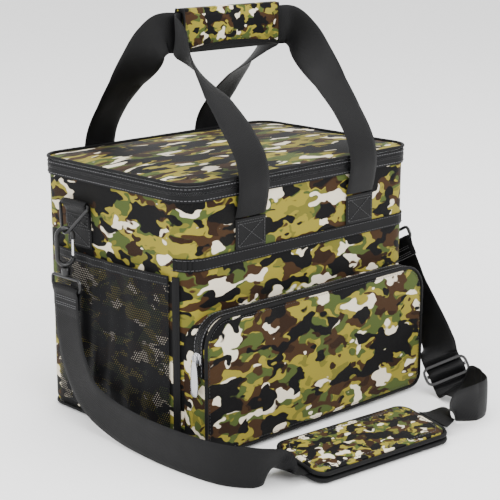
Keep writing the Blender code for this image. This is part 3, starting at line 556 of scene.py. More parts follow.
def squarish(angle: float, power: float) -> tuple[float, float]:
    """A point of a rounded square outline, one from its middle.

    Args:
        angle: Direction of the point.
        power: One gives a circle; less is squarer.

    Returns:
        Its two coordinates.
    """
    across, up = math.cos(angle), math.sin(angle)
    return math.copysign(abs(across) ** power, across), math.copysign(abs(up) ** power, up)


def oval(centre: Vector, first: Vector, second: Vector, sides: int) -> list[Vector]:
    """Ring of points round a centre.

    Args:
        centre: Its centre.
        first: Its first half axis.
        second: Its second half axis.
        sides: Number of points.

    Returns:
        The points.
    """
    turns = [2 * math.pi * step / sides for step in range(sides)]
    return [centre + first * math.cos(t) + second * math.sin(t) for t in turns]


def corded(depth: float) -> Callable[[float], float]:
    """The slight ribs of cloth wound round a cord, for a tube's swell."""
    return lambda gone: 1 + depth * math.sin(gone * CORD_RIBS)


@dataclass(frozen=True)
class Seam:
    """Thread and stitch of one kind of seam."""

    length: float = 0.0026
    pitch: float = 0.0036
    radius: float = 0.00032


PLAIN_SEAM = Seam()
FINE_SEAM = Seam(0.0022, 0.0034, 0.00022)
HEM_SEAM = Seam(0.0022, 0.0032, 0.00025)
PATCH_SEAM = Seam(0.0022, 0.0031, 0.00028)
STRAP_SEAM = Seam(0.0021, 0.0029, 0.00028)


@dataclass(frozen=True)
class Tooth:
    """Size and place of one tooth of a zip coil."""

    pitch: float = 0.00155
    tall: float = 0.0008
    lift: float = 0.0004
    reaches: tuple[tuple[float, float], ...] = ((0.0016, 0.75), (0.0011, 1.0), (0.0004, 1.0), (0.00004, 0.7))

    def rings(self, centre: Vector, along: Vector, facing: Vector, toward: Vector) -> list[list[Vector]]:
        """One rounded tooth from its tape towards the middle of the zip."""
        rings = []
        for reach, fat in self.reaches:
            middle = centre + toward * reach + facing * self.lift
            rings.append(oval(middle, along * (self.pitch * 0.36 * fat), facing * (self.tall * fat), 6))
        return rings


@dataclass
class Skin:
    """Points and faces of one piece while it is being made."""

    points: list[Vector] = field(default_factory=list)
    faces: list[tuple[int, ...]] = field(default_factory=list)
    runs: list[Point] = field(default_factory=list)

    def loft(self, rings: Sequence[Sequence[Vector]], closed: bool = False, caps: bool = True) -> "Skin":
        """Skin equal closed rings.

        Args:
            rings: The rings in order.
            closed: Whether the last ring joins the first.
            caps: Whether an open loft gets end faces.

        Returns:
            This skin.
        """
        first = len(self.points)
        count = len(rings[0])
        for ring in rings:
            self.points.extend(ring)
        total = len(rings) if closed else len(rings) - 1
        for row in range(total):
            low = first + row * count
            high = first + (row + 1) % len(rings) * count
            for index in range(count):
                after = (index + 1) % count
                self.faces.append((low + index, low + after, high + after, high + index))
        if caps and not closed:
            end = first + (len(rings) - 1) * count
            self.faces.append(tuple(reversed(range(first, first + count))))
            self.faces.append(tuple(range(end, end + count)))
        return self

    def tube(self, path: Sequence[Vector], radius: float, sides: int = 10, closed: bool = False,
             swell: Callable[[float], float] | None = None) -> "Skin":
        """Round cord along a path.

        Args:
            path: Its centre line.
            radius: Its radius.
            sides: Sides of its section.
            closed: Whether the path closes.
            swell: Scales the radius by the distance along the path.

        Returns:
            This skin.
        """
        rings = []
        count = len(path)
        hint = Vector((0.0, 0.0, 1.0))
        side: Vector | None = None
        gone = 0.0
        for index, point in enumerate(path):
            before = path[index - 1] if closed or index else point
            after = path[(index + 1) % count] if closed or index < count - 1 else point
            along = (after - before).normalized()
            if side is None:
                side = hint if abs(along.dot(hint)) < 0.9 else Vector((0.0, 1.0, 0.0))
            side = (side - along * side.dot(along)).normalized()
            other = along.cross(side)
            gone += (point - path[index - 1]).length if index else 0.0
            wide = radius * (swell(gone) if swell else 1.0)
            rings.append(oval(point, side * wide, other * wide, sides))
        return self.loft(rings, closed)

    def strip(self, path: Sequence[Vector], wides: Sequence[Vector], width: float, thick: float,
              cup: float = 0.0, closed: bool = False, lanes: int = 8) -> "Skin":
        """Flat webbing with rolled edges along a path, with its own measure.

        Args:
            path: Its centre line.
            wides: Its width direction at each point.
            width: Its width.
            thick: Its thickness.
            cup: How far its edges lift from its middle.
            closed: Whether the path closes.
            lanes: Faces across it.

        Returns:
            This skin.
        """
        rings = []
        count = len(path)
        gone = 0.0
        edge = thick * 0.45
        for index, point in enumerate(path):
            before = path[index - 1] if closed or index else point
            after = path[(index + 1) % count] if closed or index < count - 1 else point
            along = (after - before).normalized()
            first = (wides[index] - along * wides[index].dot(along)).normalized()
            out = along.cross(first)
            gone += (point - path[index - 1]).length if index else 0.0
            ring, marks = [], []
            for face in (-1, 1):
                spread = range(lanes + 1) if face < 0 else range(lanes, -1, -1)
                for lane in spread:
                    share = 2 * lane / lanes - 1
                    reach = share * (width / 2 - (edge if abs(share) == 1 else 0.0) * 0.6)
                    rim = 0.45 if abs(share) == 1 else 1.0
                    lift = cup * (share * share - 0.4)
                    ring.append(point + first * reach + out * (face * thick / 2 * rim + lift))
                    marks.append((reach, gone, 0.0))
                if face < 0:
                    ring.append(point + first * (width / 2) + out * (cup * 0.6))
                    marks.append((width / 2, gone, 0.0))
            ring.append(point - first * (width / 2) + out * (cup * 0.6))
            marks.append((-width / 2, gone, 0.0))
            rings.append(ring)
            self.runs.extend(marks)
        return self.loft(rings, closed)

    def stitches(self, path: Sequence[Vector], out: Sequence[Vector], seam: Seam = PLAIN_SEAM,
                 closed: bool = False) -> "Skin":
        """Row of single stitches that dip into the cloth at their ends.

        Args:
            path: The seam line on the cloth.
            out: The cloth's outward direction at each point.
            seam: Thread and stitch.
            closed: Whether the seam closes.

        Returns:
            This skin.
        """
        line = list(path) + ([path[0]] if closed else [])
        outs = list(out) + ([out[0]] if closed else [])
        marks = [0.0]
        for a, b in zip(line, line[1:]):
            marks.append(marks[-1] + (b - a).length)
        at = seam.pitch * 0.3
        span = 0
        while at + seam.length < marks[-1]:
            while marks[span + 1] < at:
                span += 1
            share = (at - marks[span]) / max(marks[span + 1] - marks[span], 1e-9)
            point = line[span].lerp(line[span + 1], share)
            along = (line[span + 1] - line[span]).normalized()
            lift = outs[span].normalized()
            side = along.cross(lift).normalized()
            rings = []
            for part, tall, fat in ((0.0, -0.5, 0.5), (0.18, 0.5, 1.0), (0.82, 0.5, 1.0), (1.0, -0.5, 0.5)):
                centre = point + along * (seam.length * part) + lift * (seam.radius * tall)
                rings.append(oval(centre, side * (seam.radius * fat), lift * (seam.radius * fat), 6))
            self.loft(rings)
            at += seam.pitch
        return self

    def coil(self, path: Sequence[Vector], facings: Sequence[Vector], toward: Vector, tooth: Tooth,
             start: float) -> "Skin":
        """Row of zip teeth.

        Args:
            path: Middle line of the zip.
            facings: Its outward direction on each span.
            toward: Direction from the middle to this row's tape.
            tooth: Size of its teeth.
            start: Distance of the first tooth, in pitches.

        Returns:
            This skin.
        """
        gone, at = 0.0, tooth.pitch * start
        for a, b, facing in zip(path, path[1:], facings):
            reach = (b - a).length
            along = (b - a).normalized()
            while at < gone + reach:
                self.loft(tooth.rings(a + along * (at - gone), along, facing, toward))
                at += tooth.pitch
            gone += reach
        return self

    def slab(self, outline: Sequence[tuple[float, float]], low: float, high: float, round_off: float,
             place: Matrix, dome: float = 0.0) -> "Skin":
        """Plate with rounded rims from a convex outline in its own X and Y.

        Args:
            outline: Its outline, about its own origin.
            low: Height of its under face.
            high: Height of its upper face.
            round_off: Size of its rounded rims.
            place: Where it goes.
            dome: How far the middle of its upper face rises.

        Returns:
            This skin.
        """
        rings = []
        far = max(math.hypot(x, y) for x, y in outline)
        turns = (0.0, 30.0, 60.0, 90.0)

        def ring(inset: float, z: float) -> list[Vector]:
            """One ring pulled in by inset."""
            scale = 1 - inset / far
            return [place @ Vector((x * scale, y * scale, z)) for x, y in outline]

        rings.append(ring(far * 0.5, low))
        for turn in turns:
            a = math.radians(turn)
            rings.append(ring(round_off * (1 - math.sin(a)), low + round_off * (1 - math.cos(a))))
        for turn in reversed(turns):
            a = math.radians(turn)
            rings.append(ring(round_off * (1 - math.sin(a)), high - round_off * (1 - math.cos(a))))
        rings.append(ring(far * 0.3, high + dome * 0.5))
        rings.append(ring(far * 0.65, high + dome))
        return self.loft(rings)

    def piece(self, name: str, dress: Dress, smooth: float = 50.0) -> bpy.types.Object:
        """Make the object.

        Args:
            name: Its name.
            dress: Its finish.
            smooth: Edges sharper than this stay sharp, in degrees.

        Returns:
            The object, in the scene.
        """
        mesh = bpy.data.meshes.new(name)
        mesh.from_pydata([tuple(point) for point in self.points], [], self.faces)
        bm = bmesh.new()
        bm.from_mesh(mesh)
        bmesh.ops.recalc_face_normals(bm, faces=bm.faces)
        bm.to_mesh(mesh)
        bm.free()
        mesh.polygons.foreach_set("use_smooth", [True] * len(mesh.polygons))
        mesh.set_sharp_from_angle(angle=math.radians(smooth))
        if self.runs and len(self.runs) == len(mesh.vertices):
            layer = mesh.attributes.new(RUN_ATTRIBUTE, "FLOAT_VECTOR", "POINT")
            layer.data.foreach_set("vector", [part for run in self.runs for part in run])
        mesh.materials.append(dress.value.material())
        made = bpy.data.objects.new(name, mesh)
        bpy.context.scene.collection.objects.link(made)
        return made


def settle(made: bpy.types.Object, body: str | None, slot: str, *nodes: str) -> bpy.types.Object:
    """Join a finished piece to its body.

    Args:
        made: The piece.
        body: The body that it moves with; None leaves the piece unattached.
        slot: The material slot that it is finished from; not used.
        nodes: The frame's nodes that it stands for.

    Returns:
        The piece.
    """
    if body:
        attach(made, body)
    if nodes:
        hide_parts(*nodes)
    LOG.info("%s: %d faces on %s", made.name, len(made.data.polygons), body)
    return made


def dress_node(node: str, dress: Dress) -> None:
    """Give a carried-over node its finish."""
    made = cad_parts[node]
    made.data.materials.clear()
    made.data.materials.append(dress.value.material())
    LOG.info("%s dressed in %s", node, dress.name)


class Side(Enum):
    """The bag's two ends."""

    LEFT = "left"
    RIGHT = "right"

    def matrix(self) -> Matrix:
        """Turn from the left end to this end."""
        return Matrix.Rotation(math.pi if self is Side.RIGHT else 0.0, 4, "Z")


@dataclass(frozen=True)
class BagForm:
    """The bag's main measures and its rounded outline."""

    half_w: float = 0.150
    half_d: float = 0.106
    height: float = 0.250
    corner: float = 0.022
    bottom: float = 0.010
    zip_z: float = 0.2415
    body_top: float = 0.2390
    gap: float = 0.0003
    corner_steps: int = 8
    straight: float = 0.006

    def outline(self, out: float) -> list[tuple[Vector, Vector]]:
        """Dense points of the outline and their outward directions.

        Args:
            out: How far the outline is moved outwards.

        Returns:
            Pairs of point and outward direction at height nought.
        """
        radius = self.corner + out
        found: list[tuple[Vector, Vector]] = []
        cx, cy = self.half_w - self.corner, self.half_d - self.corner
        for x, y, start in ((cx, cy, 0), (-cx, cy, 90), (-cx, -cy, 180), (cx, -cy, 270)):
            for step in range(self.corner_steps + 1):
                angle = math.radians(start + 90 * step / self.corner_steps)
                facing = Vector((math.cos(angle), math.sin(angle), 0.0))
                found.append((Vector((x, y, 0.0)) + facing * radius, facing))
        dense: list[tuple[Vector, Vector]] = []
        for index, (point, facing) in enumerate(found):
            after, turned = found[(index + 1) % len(found)]
            spans = max(1, round((after - point).length / self.straight))
            for span in range(spans):
                share = span / spans
                dense.append((point.lerp(after, share), facing.lerp(turned, share).normalized()))
        return dense

    def ring(self, out: float, z: float) -> list[Vector]:
        """The dense outline at a height."""
        return [point + Vector((0, 0, z)) for point, _ in self.outline(out)]


FORM = BagForm()


# ------------------------------------------------------------------ the body
@dataclass
class Shell:
    """Printed outer shell with a soft foot, and the layers inside it."""

    thick: float = 0.0010
    slack: float = 0.0005

    def build(self) -> None:
        """Build the shell, its bindings and the dressed layers."""
        rings = []
        heights = [self._foot(step / 6) for step in range(7)]
        heights += [(0.0, FORM.bottom + (FORM.body_top - FORM.bottom) * step / 30) for step in range(1, 31)]
        for inset, z in heights:
            rings.append([self._eased(p + Vector((0, 0, z)), n, inset) for p, n in FORM.outline(0.0)])
        for inset, z in reversed(heights):
            lift = Vector((0, 0, max(z, self.thick)))
            rings.append([p + lift - n * (inset + self.thick) for p, n in FORM.outline(0.0)])
        shell = Skin().loft(rings).piece("shell_cloth", Dress.SHELL)
        settle(shell, "bag", "camo_fabric", "outer_shell")
        self._foot_piping()
        dress_node("insulation_foam", Dress.FOAM)
        dress_node("inner_liner", Dress.LINER)
        dress_node("base_board", Dress.BOARD)
        self._front_binding()

    def _foot(self, share: float) -> tuple[float, float]:
        """Inset and height of the rounded foot."""
        angle = math.pi / 2 * share
        return FORM.bottom * (1 - math.sin(angle)), FORM.bottom * (1 - math.cos(angle))

    def _eased(self, point: Vector, facing: Vector, inset: float) -> Vector:
        """A shell point with its inset and a little slack."""
        near_top = min(1.0, (FORM.body_top - point.z) / 0.02)
        dip = self.slack * near_top * (0.5 + 0.5 * soft_noise(point, 16.0))
        return point - facing * (inset + max(dip, 0.0))

    def _foot_piping(self) -> None:
        """Corded piping round the foot."""
        angle = math.radians(50)
        inset = FORM.bottom * (1 - math.sin(angle))
        z = FORM.bottom * (1 - math.cos(angle))
        lift = 0.0018 * math.sin(math.radians(40))
        path = FORM.ring(-inset + lift * 1.2, max(z - lift, 0.0018))
        cord = Skin().tube(path, 0.0015, 10, True, corded(0.05))
        settle(cord.piece("foot_piping", Dress.BINDING), "bag", "black_trim", "base_piping")

    def _front_binding(self) -> None:
        """Flat binding across the front under the handle patches, with two seams."""
        outline = FORM.outline(FORM.gap + 0.0006)
        line = [(p, n) for p, n in outline if p.y < -0.0898 or (p.y < -0.088 and abs(p.x) > 0.13)]
        line.sort(key=lambda pair: math.atan2(pair[0].x, 0.30 + pair[0].y))
        path = [p + Vector((0, 0, 0.177)) for p, _ in line]
        up = [Vector((0, 0, 1))] * len(path)
        strip = Skin().strip(path, up, 0.0120, 0.0011, 0.0)
        settle(strip.piece("front_binding_strip", Dress.BINDING), "bag", "black_trim", "front_binding")
        seams = Skin()
        for z in (0.1725, 0.1815):
            seam = [p + n * 0.0006 + Vector((0, 0, z)) for p, n in line]
            seams.stitches(seam, [n for _, n in line])
        settle(seams.piece("front_binding_seams", Dress.THREAD), "bag", "black_trim")


# -------------------------------------------------------------- zip and lid
@dataclass
class Closure:
    """Zip round the top: two tapes, a moulded coil, its piping and the padded lid."""

    band: float = 0.0012
    band_low: float = 0.2335
    band_high: float = 0.2476
    zip_half: float = 0.0012
    slider_y: float = 0.070
    crown: float = 0.0035
    tooth: Tooth = Tooth()
    insets: tuple[float, ...] = (0, 0.0015, 0.004, 0.008, 0.014, 0.022, 0.032, 0.044, 0.058, 0.074, 0.090, 0.104)

    def build(self) -> None:
        """Build everything from the body tape up to the lid."""
        self._tapes()
        self._coil()
        self._piping()
        self._lid()
        dress_node("lid_lining", Dress.LINER)
        self._hinge()
        self._slider()

    def _hinge(self) -> None:
        """Cloth hinge that joins the lid to the back of the body."""
        y = FORM.half_d + FORM.gap + self.band + 0.0012
        heights = [0.2342 + 0.0130 * step / 12 for step in range(13)]
        strip = Skin().strip([Vector((0, y, z)) for z in heights], [Vector((1, 0, 0))] * 13, 0.200, 0.0008)
        piece = settle(strip.piece("lid_hinge_cloth", Dress.BINDING), None, "black_trim")
        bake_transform(piece)

    def _tape(self, name: str, low: float, high: float, body: str, node: str) -> None:
        """One tape with a raised hem."""
        hem = high - 0.0020 if body == "lid" else low + 0.0020
        tall = high - low
        shape = [(0.0, low), (self.band, low), (self.band + 0.0003, low + tall * 0.3),
                 (self.band + 0.0004, low + tall * 0.7), (self.band, high), (0.0, high)]
        rings = [FORM.ring(FORM.gap + reach, z) for reach, z in shape]
        settle(Skin().loft(rings, True).piece(name, Dress.TAPE), body, "zip_tape", node)
        outline = FORM.outline(FORM.gap + self.band + 0.0004)
        seam = [p + Vector((0, 0, hem)) for p, _ in outline]
        stitched = Skin().stitches(seam, [n for _, n in outline], closed=True)
        settle(stitched.piece(name + "_seam", Dress.PALE_THREAD), body, "zip_tape")

    def _tapes(self) -> None:
        """The body's tape and the lid's tape."""
        self._tape("zip_tape_lower", self.band_low, FORM.zip_z - self.zip_half, "bag", "body_zip_tape")
        self._tape("zip_tape_upper", FORM.zip_z + self.zip_half, self.band_high, "lid", "lid_band")

    def _coil(self) -> None:
        """Two rows of coil teeth that meet in the middle."""
        outline = FORM.outline(FORM.gap + 0.0008)
        path = [p + Vector((0, 0, FORM.zip_z)) for p, _ in outline + outline[:1]]
        facings = [n for _, n in outline]
        for body, side, start in (("bag", -1, 0.75), ("lid", 1, 0.25)):
            row = Skin().coil(path, facings, Vector((0, 0, side)), self.tooth, start)
            settle(row.piece("coil_" + body, Dress.COIL), body, "zip_tape")

    def _piping(self) -> None:
        """Corded piping along the lid's upper edge."""
        path = FORM.ring(0.0012, FORM.height)
        cord = Skin().tube(path, 0.0016, 10, True, corded(0.04))
        settle(cord.piece("lid_edge_piping", Dress.BINDING), "lid", "black_trim", "lid_piping")

    def _lid(self) -> None:
        """Padded printed lid: a shallow crown that dips along its sewn edge."""
        base = FORM.outline(-0.0007)
        rings_up, rings_down = [], []
        for inset in self.insets:
            share = min(1.0, inset / 0.070)
            rise = self.crown * (1 - (1 - share) ** 2.2)
            top, under = [], []
            for p, n in base:
                x = p.x * (1 - inset / (FORM.half_w + 0.004)) if inset > 0.022 else p.x - n.x * inset
                y = p.y * (1 - inset / (FORM.half_d + 0.001)) if inset > 0.022 else p.y - n.y * inset
                spot = Vector((x, y, FORM.height - 0.0007))
                ripple = 0.0006 * share * soft_noise(spot, 22.0, 3.0)
                top.append(spot + Vector((0, 0, rise + ripple)))
                under.append(spot - Vector((0, 0, 0.0012)) + Vector((0, 0, rise * 0.9)))
            rings_up.append(top)
            rings_down.append(under)
        lid = Skin().loft(list(reversed(rings_down)) + rings_up).piece("lid_cloth", Dress.LID)
        settle(lid, "lid", "camo_fabric", "lid_panel")

    def _slider(self) -> None:
        """Zip slider and pull on the right end."""
        x = FORM.half_w + 0.0018
        place = Matrix.Translation((x, self.slider_y, FORM.zip_z)) @ Matrix.Rotation(math.pi / 2, 4, "Y")
        slider = zip_slider(place @ Matrix.Rotation(math.pi / 2, 4, "Z"), 0.012, 0.0085)
        settle(slider.piece("lid_zip_slider", Dress.NICKEL), "lid_slider_body", "nickel", "lid_slider")
        hang = Vector((x + SLIDER_TALL + PULL_STANDOFF, self.slider_y, FORM.zip_z + 0.0020))
        pull = zip_pull(hang, 0.0240, 0.0040)
        settle(pull.piece("lid_zip_pull", Dress.NICKEL), "lid_pull_body", "nickel", "lid_pull")


def zip_slider(place: Matrix, length: float, width: float) -> Skin:
    """Slider body with a waist, and its bridge.

    Args:
        place: Its place; X runs along the zip and Z outwards.
        length: Its length.
        width: Its width.

    Returns:
        The skin.
    """
    outline = []
    for angle in [2 * math.pi * step / 28 for step in range(28)]:
        x, y = squarish(angle, 0.6)
        waist = 1 - 0.14 * math.cos(angle) ** 2
        outline.append((length / 2 * x, width / 2 * y * waist))
    skin = Skin().slab(outline, 0.0, 0.0017, 0.0006, place, 0.0002)
    arch = [place @ Vector((length * 0.32 * math.cos(t), 0.0, 0.0012 + 0.0018 * math.sin(t)))
            for t in [math.pi * step / 10 for step in range(11)]]
    return skin.tube(arch, 0.0007, 8)


def zip_pull(hang: Vector, length: float, half: float) -> Skin:
    """Hanging pull: a wire loop on the bridge and a long plate with an eye.

    Args:
        hang: Point that it swings from.
        length: Its full length.
        half: Half its width.

    Returns:
        The skin.
    """
    down = Matrix.Translation(hang) @ Matrix(((0, 0, 1, 0), (0, 1, 0, 0), (-1, 0, 0, 0), (0, 0, 0, 1)))
    turns = [2 * math.pi * step / 20 for step in range(20)]
    loop = [down @ Vector((0.0026 - 0.0034 * math.cos(t), 0.0024 * math.sin(t), 0.0)) for t in turns]
    skin = Skin().tube(loop, 0.0006, 8, True)
    start, end = 0.0048, length
    middle = (start + end) / 2
    rims = []
    for angle in [2 * math.pi * step / 41 for step in range(41)]:
        x, y = squarish(angle, 0.45)
        reach = (end - start) / 2 * x
        share = (middle + reach - start) / (end - start)
        rims.append((reach, half * (0.62 + 0.38 * min(1.0, share * 2.2)) * y))
    plate = down @ Matrix.Translation((middle, 0, 0))
    return skin.slab(rims, -0.0008, 0.0008, 0.0005, plate, 0.0)


# ------------------------------------------------------------- front pouch
@dataclass
class Pouch:
    """Front pouch: fixed lower half, zipped cover over the upper half, slider and pull."""

    half: float = 0.146
    front: float = -0.1275
    low: float = 0.0055
    high: float = 0.131
    fold: float = 0.079
    high_radius: float = 0.025
    low_radius: float = 0.012
    skin: float = 0.0014
    puff: float = 0.0016
    zip_back: float = 0.0100
    tape_thick: float = 0.0011
    piping_out: float = 0.0008
    slider_z: float = 0.0960
    inset: float = 0.0010
    tooth: Tooth = Tooth(0.00155, 0.0007, 0.0003, ((0.0015, 0.75), (0.0010, 1.0), (0.0004, 1.0), (0.00004, 0.7)))

    def build(self) -> None:
        """Build panels, walls, tapes, coil, piping and slider."""
        panel = self._panel(self.low + self.inset, self.high - self.inset, self.inset)
        cloth = panel.piece("pouch_front_cloth", Dress.POUCH)
        settle(cloth, None, "camo_fabric", "pouch_panel", "pouch_flap")
        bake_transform(cloth)
        for node in ("pouch_gusset_lower", "pouch_gusset_upper", "pouch_flap_rim"):
            dress_node(node, Dress.GUSSET)
        self._zip()
        self._piping()
        self._slider()

    def _width(self, z: float, inset: float) -> float:
        """Half the panel's width at a height."""
        half = self.half - inset
        top, bottom = self.high - inset, self.low + inset
        for radius, past in ((self.high_radius - inset, z - (top - self.high_radius + inset)),
                             (self.low_radius - inset, bottom + self.low_radius - inset - z)):
            if past > 0:
                return half - radius + math.sqrt(max(radius * radius - past * past, 0.0))
        return half

    def _panel(self, low: float, high: float, inset: float) -> Skin:
        """Puffed panel between two heights."""
        rows = 96
        rings = []
        for row in range(rows + 1):
            share = 0.5 - 0.5 * math.cos(math.pi * row / rows)
            z = low + (high - low) * share
            width = self._width(z, inset)
            ring = [self._front(x, z, width, inset) for x in self._spread(width)]
            ring += [Vector((x, self.front + self.skin, z)) for x in reversed(self._spread(width))]
            rings.append(ring)
        return Skin().loft(rings)

    @staticmethod
    def _spread(width: float) -> list[float]:
        """Places across the panel, closer at its sides."""
        return [-width * math.cos(math.pi * step / 56) for step in range(57)]

    def _front(self, x: float, z: float, width: float, inset: float) -> Vector:
        """A point on the panel's outer face."""
        edge = min(width - abs(x), z - self.low - inset, self.high - inset - z)
        full = 1 - math.exp(-max(edge, 0.0) / 0.010)
        spot = Vector((x, 0.0, z))
        ripple = 0.0007 * soft_noise(spot, 17.0, 5.0) + 0.0003 * soft_noise(spot, 60.0, 9.0)
        return Vector((x, self.front - (self.puff + ripple) * full, z))

    @staticmethod
    def _bend(centre: Vector, radius: float, way: int, steps: int) -> list[tuple[Vector, Vector]]:
        """Quarter round from the left: upwards where way is minus one, downwards where it is one."""
        found = []
        for step in range(steps + 1):
            angle = math.radians(180 + way * 90 * step / steps)
            facing = Vector((math.cos(angle), 0, math.sin(angle)))
            found.append((centre + facing * radius, facing))
        return found

    @staticmethod
    def _mirrored(left: list[tuple[Vector, Vector]], middle: list[tuple[Vector, Vector]]) -> list:
        """A left half, its middle, and the same half on the right."""
        right = [(Vector((-p.x, 0, p.z)), Vector((-n.x, 0, n.z))) for p, n in reversed(left)]
        return left + middle + right

    def _arch(self, out: float, low: float) -> list[tuple[Vector, Vector]]:
        """Outline over the top from left to right, with outward directions."""
        half, top, radius = self.half + out, self.high + out, self.high_radius + out
        climb = [low + (top - radius - low) * step / 14 for step in range(14)]
        left = [(Vector((-half, 0, z)), Vector((-1, 0, 0))) for z in climb]
        left += self._bend(Vector((-half + radius, 0, top - radius)), radius, -1, 12)
        up = Vector((0, 0, 1))
        left += [(Vector((-(half - radius) * (1 - step / 24), 0, top)), up) for step in range(1, 24)]
        return self._mirrored(left, [(Vector((0, 0, top)), up)])

    def _sill(self, out: float, high: float) -> list[tuple[Vector, Vector]]:
        """Outline down the left side, under the bottom and up the right side."""
        half, bottom, radius = self.half + out, self.low - out, self.low_radius + out
        drop = [high - (high - bottom - radius) * step / 10 for step in range(10)]
        left = [(Vector((-half, 0, z)), Vector((-1, 0, 0))) for z in drop]
        left += self._bend(Vector((-half + radius, 0, bottom + radius)), radius, 1, 8)
        down = Vector((0, 0, -1))
        left += [(Vector((-(half - radius) * (1 - step / 24), 0, bottom)), down) for step in range(1, 24)]
        return self._mirrored(left, [])

    def _zip(self) -> None:
        """Zip round the top of the pouch: tapes, coil and seams."""
        mid = self.front + self.zip_back
        start = self.fold + FORM.gap
        for name, near, far, body, node in (
            ("pouch_tape_back", mid + self.tape_thick, mid + 0.0055, "bag", "pouch_tape_body"),
            ("pouch_tape_front", mid - 0.0055, mid - self.tape_thick, "pouch_cover", "pouch_tape_flap"),
        ):
            rings = []
            for p, n in self._arch(0.0, start):
                low, high = p + n * FORM.gap, p + n * (FORM.gap + self.tape_thick)
                rings.append([Vector((low.x, near, low.z)), Vector((high.x, near, high.z)),
                              Vector((high.x, far, high.z)), Vector((low.x, far, low.z))])
            settle(Skin().loft(rings).piece(name, Dress.TAPE), body, "zip_tape", node)
            seam_y = far - 0.0010 if body == "bag" else near + 0.0010
            arch = self._arch(FORM.gap + self.tape_thick, start)
            seam = Skin().stitches([Vector((p.x, seam_y, p.z)) for p, _ in arch], [n for _, n in arch])
            settle(seam.piece(name + "_seam", Dress.PALE_THREAD), body, "zip_tape")
        arch = self._arch(self.piping_out, start)
        path = [p + Vector((0, mid, 0)) for p, _ in arch]
        facings = [n for _, n in arch]
        for body, name, side, first in (("bag", "back", 1, 0.25), ("pouch_cover", "front", -1, 0.75)):
            row = Skin().coil(path, facings, Vector((0, side, 0)), self.tooth, first)
            settle(row.piece("pouch_coil_" + name, Dress.COIL), body, "zip_tape")

    def _piping(self) -> None:
        """Corded piping round the front edge of both halves."""
        for name, line, body in (
            ("pouch_piping_sill", self._sill(self.piping_out, self.fold - FORM.gap), "bag"),
            ("pouch_piping_arch", self._arch(self.piping_out, self.fold + FORM.gap), "pouch_cover"),
        ):
            path = [Vector((p.x, self.front, p.z)) for p, _ in line]
            cord = Skin().tube(path, 0.0017, 10, False, corded(0.05))
            node = "pouch_piping_lower" if body == "bag" else "pouch_piping_upper"
            settle(cord.piece(name, Dress.BINDING), body, "black_trim", node)
            inner = [Vector((p.x, self.front - 0.0006, p.z)) - n * 0.0034 for p, n in line]
            seam = Skin().stitches(inner, [Vector((0, -1, 0))] * len(inner), FINE_SEAM)
            settle(seam.piece(name + "_seam", Dress.THREAD), body, "black_trim")

    def _slider(self) -> None:
        """Zip slider on the left side and its long pull."""
        x = -self.half - 0.0013
        y = self.front + self.zip_back
        place = Matrix(((0, 0, -1, x), (0, 1, 0, y), (1, 0, 0, self.slider_z), (0, 0, 0, 1)))
        slider = zip_slider(place, 0.0125, 0.0095)
        settle(slider.piece("pouch_zip_slider", Dress.NICKEL), "pouch_slider_body", "nickel", "pouch_slider")
        hang = Vector((x - FORM.gap - SLIDER_TALL - PULL_STANDOFF, y, self.slider_z + 0.0040))
        pull = zip_pull(hang, 0.0385, 0.0045)
        settle(pull.piece("pouch_zip_pull", Dress.NICKEL), "pouch_pull_body", "nickel", "pouch_pull")


